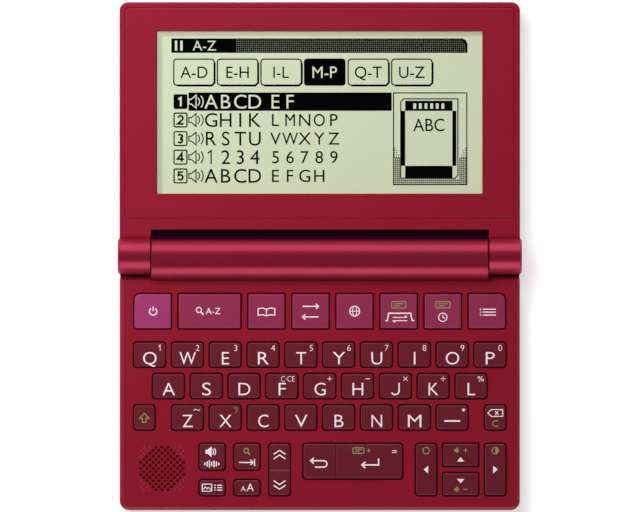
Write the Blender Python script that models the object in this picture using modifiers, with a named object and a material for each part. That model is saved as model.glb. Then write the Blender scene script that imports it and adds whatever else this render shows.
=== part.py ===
"""Electronic dictionary: a clamshell with a keyboard base, a display lid and a battery barrel.

The lid lies open flat, as in use. Metres, +Z up. The origin is on the table under the hinge axis,
+X runs to the right of the keyboard and +Y towards the lid.
"""

import math

import bmesh
import bpy
from mathutils import Matrix, Vector

MM = 0.001

# Shared fits
SEAT_GAP = 0.3 * MM
OVERRUN = 2.0 * MM
WALL = 1.4 * MM
WELD = 0.001 * MM

# Keyboard plan
KEY_PITCH = 11.8 * MM
KEY_SPACE = 1.85 * MM
ROW_PITCH = 9.8 * MM
ROW_SPACE = 1.8 * MM
SIDE_MARGIN = 4.43 * MM
LETTER_ROWS = ("qwertyuiop", "asdfghjkl", "zxcvbnm")
KEY_W = KEY_PITCH - KEY_SPACE
KEY_H = ROW_PITCH - ROW_SPACE
GRID_HALF = KEY_PITCH * (len(LETTER_ROWS[0]) - 1) / 2 + KEY_W / 2

# Function row, in shares of the letter grid's half width
FUNCTION_H = 10.9 * MM
FUNCTION_GAP = 2.25 * MM
FUNCTION_INSET = 0.18 * MM
FUNCTION_COUNT = 8
MENU_W_SHARE = 0.336
FUNCTION_END_R = 1.9 * MM
FUNCTION_END_FRONT_R = 0.8 * MM

# Bottom cluster, with widths in shares of the key pitch and heights in shares of its own height
CLUSTER_H = 16.5 * MM
CLUSTER_ROW_GAP = 2.8 * MM
FIGURE_H_SHARE = 0.315
ENTER_H_SHARE = 0.685
EDGE_W_SHARE = 0.564
ARROW_W_SHARE = 0.95
ENTER_W_SHARE = 1.766
SOFT_W_SHARE = 0.69
SOFT_GAP_SHARE = 0.233
BLOCK_GAP_SHARE = 0.338

# Key caps, openings and travel
KEY_CORNER_R = 1.0 * MM
SQUARE_CORNER_R = 0.35 * MM
KEY_EDGE_R = 0.35 * MM
KEY_PROUD = 0.8 * MM
KEY_CLEARANCE = 0.4 * MM
TAB_T = 0.6 * MM
TAB_REACH = (ROW_SPACE - SEAT_GAP) / 2
PIVOT_EAR_W = 2.0 * MM
ROCKER_GROOVE_W = 0.5 * MM
ROCKER_GROOVE_DEPTH = 0.3 * MM

# Base section, stacked up from the table
FOOT_H = 0.6 * MM
FLOOR_T = 1.3 * MM
BOSS_H = 1.8 * MM
BOARD_T = 1.0 * MM
SHEET_T = 0.5 * MM
DOME_H = 0.8 * MM
DECK_T = 1.4 * MM
FLOOR_TOP = FOOT_H + FLOOR_T
BOARD_Z = FLOOR_TOP + BOSS_H + SEAT_GAP
SHEET_Z = BOARD_Z + BOARD_T + SEAT_GAP
SHEET_TOP = SHEET_Z + SHEET_T
KEY_Z = SHEET_TOP + DOME_H + SEAT_GAP
DECK_UNDER = KEY_Z + TAB_T + SEAT_GAP
DECK_TOP = DECK_UNDER + DECK_T
KEY_TOP = DECK_TOP + KEY_PROUD

# Hinge and lid section: closed, the lid's face lies just above the keys
AXIS_ABOVE_DECK = 1.0 * MM
CLOSED_GAP = 0.5 * MM
LID_T = 5.5 * MM
BEZEL_T = 1.4 * MM
LID_WALL = 1.2 * MM
AXIS_Z = DECK_TOP + AXIS_ABOVE_DECK
LID_FACE = 2 * AXIS_Z - KEY_TOP - CLOSED_GAP
LID_BACK = LID_FACE - LID_T
BEZEL_Z = LID_FACE - BEZEL_T
COVER_RIM = BEZEL_Z - SEAT_GAP

# The base parts where the battery cover slides out under the open lid
PARTING_Z = LID_BACK - SEAT_GAP

# Barrel, seen from its end
BARREL_R = 5.4 * MM
BARREL_FLAT = 2.0 * MM
BARREL_HEEL_IN = 0.5 * MM
HEEL_RUN = 4.0 * MM
HEEL_STEP = 0.06 * MM
KNUCKLE_R = AXIS_Z - LID_BACK
KNUCKLE_L = 9.6 * MM
KNUCKLE_DOME = 0.5 * MM
HEEL_Y = BARREL_R - BARREL_HEEL_IN
BARREL_FRONT_Y = -BARREL_FLAT - BARREL_R
CHEEK_Y = -KNUCKLE_R - 2 * SEAT_GAP

# Hinge shafts
SHAFT_R = 1.8 * MM
SHAFT_HOLD = 4.9 * MM
SHAFT_REACH = 7.1 * MM
BORE_R = SHAFT_R + SEAT_GAP

# Batteries, two cells end to end in a bay under the barrel
CELL_R = 5.25 * MM
CELL_L = 44.5 * MM
CELL_TIP_R = 1.9 * MM
CELL_TIP_L = 1.0 * MM
CONTACT_SPACE = 2.0 * MM
BAY_WALL = 0.8 * MM
BAY_END_WALL = 0.9 * MM
CELL_LIFT = 0.45 * MM
COVER_T = 1.2 * MM
COVER_SIDE = 1.5 * MM
COVER_FRONT = 0.6 * MM
GRIP_RIBS = 5
GRIP_RIB_L = 12.0 * MM
GRIP_RIB_W = 0.6 * MM
GRIP_RIB_H = 0.3 * MM
GRIP_PITCH = 1.4 * MM
BAY_R = CELL_R + SEAT_GAP
BAY_HALF = CELL_L + CONTACT_SPACE
CELL_Y = HEEL_Y - BAY_WALL - BAY_R
CELL_Z = FOOT_H + COVER_T + CELL_LIFT + CELL_R
BULKHEAD_Y = CELL_Y - BAY_R - WALL
COVER_HALF = BAY_HALF + COVER_SIDE
COVER_Y = BULKHEAD_Y - COVER_FRONT

# Width of the case: the letter grid fits in it, and so do the bay, its shafts and the knuckles
BAY_SIDE_HALF = BAY_HALF + BAY_END_WALL + SEAT_GAP + SHAFT_HOLD + SEAT_GAP + KNUCKLE_L
BODY_HALF = max(GRID_HALF + SIDE_MARGIN, BAY_SIDE_HALF)
KNUCKLE_IN = BODY_HALF - KNUCKLE_L
BARREL_HALF = KNUCKLE_IN - SEAT_GAP

# Base plan, chained from the hinge axis to the front edge
FUNCTION_MARGIN = 4.3 * MM
FUNCTION_TO_LETTERS = 4.1 * MM
LETTERS_TO_CLUSTER = 4.0 * MM
FRONT_MARGIN = 4.5 * MM
FUNCTION_Y = BARREL_FRONT_Y - FUNCTION_MARGIN
LETTER_Y = FUNCTION_Y - FUNCTION_H - FUNCTION_TO_LETTERS
CLUSTER_Y = LETTER_Y - 2 * ROW_PITCH - KEY_H - LETTERS_TO_CLUSTER
CLUSTER_END_Y = CLUSTER_Y - CLUSTER_H
FRONT_Y = CLUSTER_END_Y - FRONT_MARGIN
FRONT_CORNER_R = 3.0 * MM
CASE_EDGE_R = 1.5 * MM
REAR_CORNER_R = CASE_EDGE_R + SEAT_GAP

# Lid plan
SLOT_Y = 8.2 * MM
LIP_Y = 5.6 * MM
BEZEL_NECK_Y = 6.1 * MM
LID_CORNER_R = 2.7 * MM
LID_EDGE_R = 1.2 * MM
WINDOW_W = 101.5 * MM
WINDOW_H = 50.6 * MM
WINDOW_MARGIN = 9.2 * MM
WINDOW_FLARE = 0.35 * MM
GROOVE_INSET = 1.6 * MM
GROOVE_W = 0.35 * MM
GROOVE_DEPTH = 0.3 * MM
PANEL_W = 108.0 * MM
PANEL_H = 58.0 * MM
PANEL_T = 1.6 * MM
GLASS_RECESS = 1.1 * MM
WINDOW_Y = -FRONT_Y - WINDOW_MARGIN - WINDOW_H / 2

# Speaker and its grille, placed in shares of the key pitch and of the cluster's height
GRILLE_PLACE_SHARES = (0.754, 0.485)
GRILLE_PITCH = 1.894 * MM
GRILLE_HOLE_R = 0.45 * MM
GRILLE_R = 7.0 * MM
SPEAKER_R = 8.6 * MM
SPEAKER_T = 2.2 * MM
GRILLE_X = -GRID_HALF + KEY_PITCH * GRILLE_PLACE_SHARES[0]
GRILLE_Y = CLUSTER_Y - CLUSTER_H * GRILLE_PLACE_SHARES[1]

# Underside: feet and screw bosses
FRONT_FOOT_R = 3.5 * MM
FRONT_FOOT_IN = 8.0 * MM
REAR_FOOT_W = 3.4 * MM
REAR_FOOT_L = 8.6 * MM
BOSS_R = 3.2 * MM
SCREW_R = 2.0 * MM
SCREW_DEPTH = 2.1 * MM
BOSS_INSET = 14.0 * MM

# Board and dome sheet
BOARD_CLEARANCE = 0.5 * MM
DOME_R = 2.6 * MM
DOME_TOP_R = 1.5 * MM
ROCKER_DOME_SHARE = 0.3

# Facets
CORNER_STEPS = 3
EDGE_STEPS = 2
ARC_STEPS = 12
ROUND_SIDES = 24
BOSS_SIDES = 12
HOLE_SIDES = 6

RED = (0.27, 0.010, 0.023, 1.0)
MAROON = (0.16, 0.012, 0.022, 1.0)
PLUM = (0.29, 0.028, 0.082, 1.0)
MAGENTA = (0.37, 0.040, 0.150, 1.0)
BLACK = (0.02, 0.02, 0.022, 1.0)
GREEN_BOARD = (0.02, 0.13, 0.05, 1.0)
GREY_RUBBER = (0.30, 0.30, 0.29, 1.0)
STEEL = (0.62, 0.62, 0.60, 1.0)
LCD_GREEN = (0.50, 0.54, 0.42, 1.0)


def clear_scene():
    """Remove everything that the start-up file holds."""
    for item in list(bpy.data.objects):
        bpy.data.objects.remove(item, do_unlink=True)


def new_collection(name):
    """Return a new collection linked to the scene."""
    collection = bpy.data.collections.new(name)
    bpy.context.scene.collection.children.link(collection)
    return collection


def new_material(name, color, roughness, metallic=0.0):
    """Return a Principled BSDF material."""
    material = bpy.data.materials.new(name)
    material.use_nodes = True
    shader = material.node_tree.nodes["Principled BSDF"]
    shader.inputs["Base Color"].default_value = color
    shader.inputs["Roughness"].default_value = roughness
    shader.inputs["Metallic"].default_value = metallic
    material.diffuse_color = color
    return material


clear_scene()
PARTS = new_collection("electronic_dictionary")
CUTTERS = new_collection("cutters")


def rounded(corners, radii, steps=CORNER_STEPS):
    """Return an outline through the corners, each one rounded by its own radius.

    The corners run anticlockwise, and a corner with radius zero stays sharp.
    """
    outline = []
    count = len(corners)
    for i, (corner, radius) in enumerate(zip(corners, radii)):
        here = Vector(corner)
        if radius == 0:
            outline.append(here)
            continue
        before = (Vector(corners[i - 1]) - here).normalized()
        after = (Vector(corners[(i + 1) % count]) - here).normalized()
        half = before.angle(after) / 2
        middle = here + (before + after).normalized() * radius / math.sin(half)
        start = here + before * radius / math.tan(half) - middle
        finish = here + after * radius / math.tan(half) - middle
        sweep = start.angle_signed(finish)
        for step in range(steps + 1):
            turned = start.copy()
            turned.rotate(Matrix.Rotation(-sweep * step / steps, 2))
            outline.append(middle + turned)
    return outline


def rectangle(left, right, front, back):
    """Return the four corners of a rectangle, anticlockwise."""
    return [(left, front), (right, front), (right, back), (left, back)]


def arc(center, radius, first, last, steps=ARC_STEPS, rise=None):
    """Return points on a circle, or on an ellipse whose upright radius is rise, in degrees."""
    upright = radius if rise is None else rise
    points = []
    for step in range(steps + 1):
        angle = math.radians(first + (last - first) * step / steps)
        points.append((center[0] + radius * math.cos(angle), center[1] + upright * math.sin(angle)))
    return points


def mesh_of(curve_object):
    """Turn a filled curve object into a mesh datablock and remove the curve."""
    bpy.context.view_layer.update()
    depsgraph = bpy.context.evaluated_depsgraph_get()
    mesh = bpy.data.meshes.new_from_object(curve_object.evaluated_get(depsgraph))
    bpy.data.objects.remove(curve_object, do_unlink=True)
    return mesh


def finish_mesh(name, mesh, material, location, collection):
    """Put a mesh in the scene as an object that is smooth where it is round."""
    made = bpy.data.objects.new(name, mesh)
    made.location = location
    collection.objects.link(made)
    mesh.shade_smooth()
    mesh.set_sharp_from_angle(angle=math.radians(35))
    mesh.materials.clear()
    if material:
        mesh.materials.append(material)
    if collection is CUTTERS:
        made.hide_render = True
        made.display_type = "WIRE"
    return made


def slab(name, outlines, low, high, material=None, location=(0, 0, 0), shape=None, across=False):
    """Extrude filled outlines from low to high, up Z or, with across, along X.

    Args:
        outlines: one or more closed outlines, where one inside another is a hole.
        shape: a function that goes on modelling the mesh with bmesh.
        across: the outlines are (y, z) points and the extrusion runs along X.
    """
    curve = bpy.data.curves.new(name, "CURVE")
    curve.dimensions = "2D"
    curve.fill_mode = "BOTH"
    curve.extrude = (high - low) / 2
    for outline in outlines:
        spline = curve.splines.new("POLY")
        spline.points.add(len(outline) - 1)
        for point, place in zip(spline.points, outline):
            point.co = (place[0], place[1], 0, 1)
        spline.use_cyclic_u = True
    holder = bpy.data.objects.new(name, curve)
    CUTTERS.objects.link(holder)
    mesh = mesh_of(holder)
    work = bmesh.new()
    work.from_mesh(mesh)
    bmesh.ops.remove_doubles(work, verts=work.verts, dist=WELD)
    bmesh.ops.translate(work, verts=work.verts, vec=(0, 0, (low + high) / 2))
    if len(outlines) == 1:
        flat = math.radians(0.1)
        bmesh.ops.dissolve_limit(work, angle_limit=flat, verts=work.verts, edges=work.edges)
    if across:
        to_side = Matrix(((0, 0, 1), (1, 0, 0), (0, 1, 0))).to_4x4()
        bmesh.ops.transform(work, verts=work.verts, matrix=to_side)
    bmesh.ops.recalc_face_normals(work, faces=work.faces)
    if shape:
        shape(work)
    work.to_mesh(mesh)
    work.free()
    is_cutter = material is None
    return finish_mesh(name, mesh, material, location, CUTTERS if is_cutter else PARTS)


def rod(name, radius, low, high, center, material=None, sides=ROUND_SIDES, shape=None, across=True):
    """Make a cylinder from low to high, along X through (y, z), or upright through (x, y)."""
    work = bmesh.new()
    bmesh.ops.create_cone(
        work, cap_ends=True, segments=sides, radius1=radius, radius2=radius, depth=high - low
    )
    middle = (low + high) / 2
    if across:
        bmesh.ops.rotate(work, verts=work.verts, matrix=Matrix.Rotation(math.radians(90), 3, "Y"))
        place = (middle, center[0], center[1])
    else:
        place = (center[0], center[1], middle)
    if shape:
        shape(work)
    mesh = bpy.data.meshes.new(name)
    work.to_mesh(mesh)
    work.free()
    return finish_mesh(name, mesh, material, place, CUTTERS if material is None else PARTS)


def edges_where(work, test):
    """Return the edges whose two ends both pass the test."""
    return [edge for edge in work.edges if all(test(vert.co) for vert in edge.verts)]


def round_edges(work, edges, radius, steps=EDGE_STEPS):
    """Round the given edges."""
    bmesh.ops.bevel(
        work,
        geom=edges,
        offset=radius,
        segments=steps,
        profile=0.5,
        affect="EDGES",
        clamp_overlap=True,
    )


def round_rim(level, radius, steps=EDGE_STEPS, test=None):
    """Return a shape function that rounds the sharp edges lying at a level."""

    def shape(work):
        rim = edges_where(work, lambda co: abs(co.z - level) < WELD)
        rim = [edge for edge in rim if edge.calc_face_angle(0) > math.radians(30)]
        if test:
            rim = [edge for edge in rim if test(edge)]
        round_edges(work, rim, radius, steps)

    return shape


def modify(target, tool, operation):
    """Cut a tool from the target, or join it on, with a live Boolean modifier."""
    boolean = target.modifiers.new(tool.name, "BOOLEAN")
    boolean.operation = operation
    boolean.solver = "EXACT"
    boolean.object = tool


def cut(target, *tools):
    """Cut each tool away from the target."""
    for tool in tools:
        modify(target, tool, "DIFFERENCE")


def join(target, *tools):
    """Join each tool to the target."""
    for tool in tools:
        modify(target, tool, "UNION")


def both_sides(make):
    """Call make with -1 for the left side and 1 for the right, and return both results."""
    return [make(side) for side in (-1, 1)]


def span(side, near, far):
    """Return the low and high X of a stretch that lies on one side of the middle."""
    return min(side * near, side * far), max(side * near, side * far)


class Key:
    """One key: its node name, its cap's rectangle and the corner radii of the cap."""

    def __init__(self, name, left, right, front, back, radius=KEY_CORNER_R, look="maroon"):
        self.name = name
        self.left = left
        self.right = right
        self.front = front
        self.back = back
        self.radii = [radius] * 4
        self.look = look

    def center(self):
        """Return the middle of the cap in plan."""
        return (self.left + self.right) / 2, (self.front + self.back) / 2

    def outline(self, grow=0, centered=False):
        """Return the cap's outline, grown outward, about its own middle or in place."""
        x, y = self.center() if centered else (0, 0)
        corners = rectangle(
            self.left - grow - x, self.right + grow - x, self.front - grow - y, self.back + grow - y
        )
        radii = [radius + grow for radius in self.radii]
        return rounded(corners, radii, EDGE_STEPS)


def letter_keys():
    """Return the three letter rows with shift, dash and delete."""
    keys = []
    for row, letters in enumerate(LETTER_ROWS):
        back = LETTER_Y - row * ROW_PITCH
        names = list(letters)
        if row == len(LETTER_ROWS) - 1:
            names.append("dash")
        for i, name in enumerate(names):
            x = (i - (len(names) - 1) / 2) * KEY_PITCH
            keys.append(Key("key_" + name, x - KEY_W / 2, x + KEY_W / 2, back - KEY_H, back))
    edge_w = KEY_PITCH * EDGE_W_SHARE
    last_back = LETTER_Y - (len(LETTER_ROWS) - 1) * ROW_PITCH
    front = last_back - KEY_H
    keys.append(Key("key_shift", -GRID_HALF, edge_w - GRID_HALF, front, last_back))
    keys.append(Key("key_delete", GRID_HALF - edge_w, GRID_HALF, front, last_back))
    return keys


def function_keys():
    """Return the row of eight function keys, of which the second is wide."""
    menu_w = GRID_HALF * MENU_W_SHARE
    row_w = 2 * (GRID_HALF - FUNCTION_INSET)
    gaps = FUNCTION_GAP * (FUNCTION_COUNT - 1)
    plain_w = (row_w - menu_w - gaps) / (FUNCTION_COUNT - 1)
    names = ["power", "menu"] + ["function_%d" % (i + 1) for i in range(FUNCTION_COUNT - 2)]
    keys = []
    left = -row_w / 2
    for name in names:
        width = menu_w if name == "menu" else plain_w
        look = "magenta" if name == "power" else "plum"
        keys.append(
            Key(
                "key_" + name,
                left,
                left + width,
                FUNCTION_Y - FUNCTION_H,
                FUNCTION_Y,
                SQUARE_CORNER_R,
                look,
            )
        )
        left += width + FUNCTION_GAP
    keys[0].radii = [FUNCTION_END_FRONT_R, SQUARE_CORNER_R, SQUARE_CORNER_R, FUNCTION_END_R]
    keys[-1].radii = [SQUARE_CORNER_R, FUNCTION_END_FRONT_R, FUNCTION_END_R, SQUARE_CORNER_R]
    return keys


def cluster_keys():
    """Return the bottom cluster, laid out from the right end of the grid to the left."""
    edge_w = KEY_PITCH * EDGE_W_SHARE
    arrow_w = KEY_PITCH * ARROW_W_SHARE
    enter_w = KEY_PITCH * ENTER_W_SHARE
    soft_w = KEY_PITCH * SOFT_W_SHARE
    soft_gap = KEY_PITCH * SOFT_GAP_SHARE
    block_gap = KEY_PITCH * BLOCK_GAP_SHARE
    arrow_h = (CLUSTER_H - ROW_SPACE) / 2
    enter_h = CLUSTER_H * ENTER_H_SHARE
    figure_h = CLUSTER_H * FIGURE_H_SHARE
    voice_h = CLUSTER_H - CLUSTER_ROW_GAP - figure_h
    top, end = CLUSTER_Y, CLUSTER_END_Y
    columns = [
        (edge_w, KEY_SPACE, [("right", top, CLUSTER_H)]),
        (arrow_w, KEY_SPACE, [("up", top, arrow_h), ("down", end + arrow_h, arrow_h)]),
        (edge_w, block_gap, [("left", top, CLUSTER_H)]),
        (enter_w, SEAT_GAP, [("enter", top, enter_h)]),
        (KEY_W, block_gap, [("back", top, enter_h)]),
        (edge_w, soft_gap, [("page_rocker", top, CLUSTER_H)]),
    ]
    for upper, lower in (("jump", "font_size"), ("voice", "figure")):
        columns.append((soft_w, soft_gap, [(upper, top, voice_h), (lower, end + figure_h, figure_h)]))
    keys = []
    right = GRID_HALF
    for width, gap, stack in columns:
        for name, back, height in stack:
            keys.append(Key("key_" + name, right - width, right, back - height, back))
        right -= width + gap
    named = {key.name: key for key in keys}
    named["key_enter"].radii = [SQUARE_CORNER_R, KEY_CORNER_R, KEY_CORNER_R, SQUARE_CORNER_R]
    named["key_back"].radii = [KEY_CORNER_R, SQUARE_CORNER_R, SQUARE_CORNER_R, KEY_CORNER_R]
    for name in ("key_up", "key_down"):
        named[name].radii = [SQUARE_CORNER_R] * 4
    return keys


def key_shape(key):
    """Return a shape function that rounds the cap's rim and adds the key's retaining tabs.

    A plain key has a tab at its front and its back. The rocker has an ear on each side instead,
    in the middle of its length, on which it tilts.
    """
    rocks = key.name == "key_page_rocker"
    height = KEY_TOP - KEY_Z
    ear_half = PIVOT_EAR_W / 2

    def split(work, place, direction):
        geometry = work.verts[:] + work.edges[:] + work.faces[:]
        bmesh.ops.bisect_plane(work, geom=geometry, plane_co=place, plane_no=direction)

    def shape(work):
        round_rim(height, KEY_EDGE_R, 1)(work)
        split(work, (0, 0, TAB_T), (0, 0, 1))
        if rocks:
            split(work, (0, ear_half, 0), (0, 1, 0))
            split(work, (0, -ear_half, 0), (0, 1, 0))
        work.normal_update()
        tabs = []
        for face in work.faces:
            normal = face.normal
            middle = face.calc_center_median()
            along = normal.x if rocks else normal.y
            is_side = abs(along) > 0.99 and middle.z < TAB_T
            if is_side and (not rocks or abs(middle.y) < ear_half):
                tabs.append(face)
        grown = bmesh.ops.extrude_discrete_faces(work, faces=tabs)["faces"]
        for face in grown:
            push = face.normal * TAB_REACH
            bmesh.ops.translate(work, verts=face.verts, vec=push)
        flat = math.radians(0.1)
        bmesh.ops.dissolve_limit(work, angle_limit=flat, verts=work.verts, edges=work.edges)

    return shape


def make_keys(keys, looks):
    """Make each key as its own solid with its origin under the middle of the cap."""
    for key in keys:
        x, y = key.center()
        top = KEY_TOP - KEY_Z
        outline = key.outline(centered=True)
        cap = slab(key.name, [outline], 0, top, looks[key.look], (x, y, KEY_Z), key_shape(key))
        if key.name == "key_page_rocker":
            groove_half = ROCKER_GROOVE_W / 2
            across = rectangle(key.left - OVERRUN, key.right + OVERRUN, y - groove_half, y + groove_half)
            low, high = KEY_TOP - ROCKER_GROOVE_DEPTH, KEY_TOP + OVERRUN
            cut(cap, slab("rocker_groove", [across], low, high))


def key_openings(keys):
    """Return the opening outlines: one for each key, and one for back and enter together."""
    outlines = []
    named = {key.name: key for key in keys}
    back, enter = named["key_back"], named["key_enter"]
    shared = Key("shared", back.left, enter.right, enter.front, enter.back)
    for key in keys:
        if key not in (back, enter):
            outlines.append(key.outline(KEY_CLEARANCE))
    outlines.append(shared.outline(KEY_CLEARANCE))
    return outlines


def grille_holes():
    """Return hexagons on a staggered grid, kept to those inside the grille's circle."""
    step = GRILLE_PITCH / 2
    reach = math.ceil(GRILLE_R / step)
    holes = []
    for row in range(-reach, reach + 1):
        shift = 0.5 if row % 2 == 0 else 0
        for column in range(-reach, reach + 1):
            x = (column + shift) * GRILLE_PITCH
            y = row * step
            if math.hypot(x, y) <= GRILLE_R:
                middle = (GRILLE_X + x, GRILLE_Y + y)
                points = arc(middle, GRILLE_HOLE_R, 0, 360, HOLE_SIDES)
                holes.append(points[:-1])
    return holes


def barrel_profile():
    """Return the barrel's (y, z) outline above the parting line."""
    rear = arc((0, AXIS_Z), BARREL_R, 0, 90)
    front = arc((-BARREL_FLAT, AXIS_Z), BARREL_R, 90, 180)
    bottom = LID_BACK
    return rear + front + [(BARREL_FRONT_Y, bottom), (HEEL_Y, bottom)]


def heel_profile(front, thickness=0, lift=0):
    """Return the (y, z) outline under the barrel: flat at the front, rounded up to the heel.

    A thickness gives a bent plate of that wall instead of the full block, and lift raises its
    flat underside.
    """
    rise = PARTING_Z - FOOT_H - lift
    center = (HEEL_Y - HEEL_RUN, PARTING_Z)
    outer = [(front, FOOT_H + lift)] + arc(center, HEEL_RUN, -90, 0, rise=rise)
    if thickness == 0:
        return outer + [(front, PARTING_Z)]
    inner = arc(center, HEEL_RUN - thickness, 0, -90, rise=rise - thickness)
    return outer + inner + [(front, FOOT_H + lift + thickness)]


def bay_profile():
    """Return the (y, z) outline of the battery bay: round over the cell and open below."""
    over = arc((CELL_Y, CELL_Z), BAY_R, 0, 180, ROUND_SIDES // 2)
    low = PARTING_Z - OVERRUN
    return over + [(CELL_Y - BAY_R, low), (CELL_Y + BAY_R, low)]


def case_outline(front, back, grow=0):
    """Return the base's outline: large corners at the front and small ones at the back."""
    half = BODY_HALF + grow
    corners = rectangle(-half, half, front - grow, back)
    front_r = FRONT_CORNER_R + grow
    return rounded(corners, [front_r, front_r, REAR_CORNER_R, REAR_CORNER_R])


def make_upper_case(keys, material):
    """Make the deck with its walls, the barrel, the key openings and the speaker grille."""
    round_deck = round_rim(DECK_TOP, CASE_EDGE_R, CORNER_STEPS)
    outline = case_outline(FRONT_Y, CHEEK_Y)
    case = slab("upper_case", [outline], LID_BACK, DECK_TOP, material, shape=round_deck)
    barrel = slab("barrel", [barrel_profile()], -BARREL_HALF, BARREL_HALF, across=True)
    join(case, barrel)
    inner = rounded(
        rectangle(WALL - BODY_HALF, BODY_HALF - WALL, FRONT_Y + WALL, BULKHEAD_Y),
        [FRONT_CORNER_R - WALL, FRONT_CORNER_R - WALL, 0, 0],
    )
    cut(case, slab("deck_cavity", [inner], PARTING_Z - OVERRUN, DECK_UNDER))
    cut(case, slab("bay_cavity", [bay_profile()], -BAY_HALF, BAY_HALF, across=True))
    low, high = DECK_UNDER - OVERRUN, DECK_TOP + OVERRUN
    cut(case, slab("key_openings", key_openings(keys), low, high))
    cut(case, slab("grille_holes", grille_holes(), low, high))

    def shaft_bore(side):
        start, end = span(side, BARREL_HALF - SHAFT_HOLD - SEAT_GAP, BARREL_HALF + OVERRUN)
        return rod("barrel_bore", BORE_R, start, end, (0, AXIS_Z), sides=BOSS_SIDES)

    cut(case, *both_sides(shaft_bore))
    return case


def boss_places():
    """Return the four places of the screw bosses, clear of the feet."""
    x = BODY_HALF - BOSS_INSET
    rear = BULKHEAD_Y - BOSS_INSET
    front = FRONT_Y + BOSS_INSET
    return [(side * x, y) for side in (-1, 1) for y in (rear, front)]


def make_lower_case(material):
    """Make the tub with its heel ears, screw bosses, feet and the battery cover's opening."""
    round_bottom = round_rim(FOOT_H, CASE_EDGE_R)
    outline = case_outline(FRONT_Y, CHEEK_Y)
    case = slab("lower_case", [outline], FOOT_H, PARTING_Z, material, shape=round_bottom)
    profile = heel_profile(COVER_Y, lift=HEEL_STEP)
    heel = slab("heel", [profile], -BARREL_HALF, BARREL_HALF, across=True)
    join(case, heel)
    gap_half = COVER_HALF + SEAT_GAP
    opening = rectangle(-gap_half, gap_half, COVER_Y - SEAT_GAP, HEEL_Y + OVERRUN)
    cut(case, slab("cover_opening", [opening], -OVERRUN, PARTING_Z + OVERRUN))
    inner = rounded(
        rectangle(WALL - BODY_HALF, BODY_HALF - WALL, FRONT_Y + WALL, COVER_Y - SEAT_GAP - WALL),
        [FRONT_CORNER_R - WALL, FRONT_CORNER_R - WALL, 0, 0],
    )
    cut(case, slab("tub_cavity", [inner], FLOOR_TOP, PARTING_Z + OVERRUN))
    for place in boss_places():
        boss_low = FLOOR_TOP - FLOOR_T / 2
        boss_high = FLOOR_TOP + BOSS_H
        join(case, rod("boss", BOSS_R, boss_low, boss_high, place, sides=BOSS_SIDES, across=False))
        screw_top = FOOT_H + SCREW_DEPTH
        cut(case, rod("screw", SCREW_R, -OVERRUN, screw_top, place, sides=BOSS_SIDES, across=False))
    foot_top = FOOT_H + FLOOR_T / 2

    def front_foot(side):
        place = (side * (BODY_HALF - FRONT_FOOT_IN), FRONT_Y + FRONT_FOOT_IN - FRONT_CORNER_R / 2)
        return rod("front_foot", FRONT_FOOT_R, 0, foot_top, place, sides=BOSS_SIDES, across=False)

    def rear_foot(side):
        inside = COVER_HALF + 2 * SEAT_GAP
        left, right = span(side, inside, inside + REAR_FOOT_W)
        back = HEEL_Y - HEEL_RUN - SEAT_GAP
        return slab("rear_foot", [rectangle(left, right, back - REAR_FOOT_L, back)], 0, foot_top)

    join(case, *both_sides(front_foot), *both_sides(rear_foot))
    return case


def make_battery_cover(material):
    """Make the bent plate that closes the bay from below and slides out to the rear.

    The ribs in the middle of its underside give a thumb its grip.
    """
    profile = heel_profile(COVER_Y, COVER_T)
    cover = slab("battery_cover", [profile], -COVER_HALF, COVER_HALF, material, across=True)
    rib_low = FOOT_H - GRIP_RIB_H
    rib_high = FOOT_H + COVER_T / 2
    for i in range(GRIP_RIBS):
        y = CELL_Y + (i - (GRIP_RIBS - 1) / 2) * GRIP_PITCH
        rib = rectangle(-GRIP_RIB_L / 2, GRIP_RIB_L / 2, y - GRIP_RIB_W / 2, y + GRIP_RIB_W / 2)
        join(cover, slab("grip_rib", [rib], rib_low, rib_high))
    return cover


def make_batteries(material):
    """Make two cells in series: each has a body and a raised tip that meets the next cell."""
    body = CELL_L - CELL_TIP_L
    profile = [
        (0, 0),
        (CELL_R, 0),
        (CELL_R, body),
        (CELL_TIP_R, body),
        (CELL_TIP_R, CELL_L),
        (CELL_R, CELL_L),
        (CELL_R, CELL_L + body),
        (CELL_TIP_R, CELL_L + body),
        (CELL_TIP_R, 2 * CELL_L),
        (0, 2 * CELL_L),
    ]
    mesh = bpy.data.meshes.new("batteries")
    places = [(radius, 0, along) for radius, along in reversed(profile)]
    edges = [(i, i + 1) for i in range(len(places) - 1)]
    mesh.from_pydata(places, edges, [])
    cells = bpy.data.objects.new("batteries", mesh)
    PARTS.objects.link(cells)
    mesh.materials.append(material)
    turn = cells.modifiers.new("turn", "SCREW")
    turn.steps = ROUND_SIDES
    turn.render_steps = ROUND_SIDES
    turn.use_merge_vertices = True
    turn.merge_threshold = WELD
    turn.use_smooth_shade = False
    cells.location = (-CELL_L, CELL_Y, CELL_Z)
    cells.rotation_euler = (0, math.radians(90), 0)
    return cells


def make_board(material):
    """Make the circuit board that rests on the bosses."""
    side = BODY_HALF - WALL - BOARD_CLEARANCE
    front = FRONT_Y + WALL + BOARD_CLEARANCE
    back = COVER_Y - SEAT_GAP - WALL - BOARD_CLEARANCE
    corners = rectangle(-side, side, front, back)
    outline = rounded(corners, [FRONT_CORNER_R] * 4)
    return slab("circuit_board", [outline], BOARD_Z, BOARD_Z + BOARD_T, material)


def dome_places(keys):
    """Return one dome place under each key, and two under the rocker."""
    places = []
    for key in keys:
        x, y = key.center()
        if key.name == "key_page_rocker":
            offset = CLUSTER_H * ROCKER_DOME_SHARE
            places += [(x, y - offset), (x, y + offset)]
        else:
            places.append((x, y))
    return places


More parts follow.
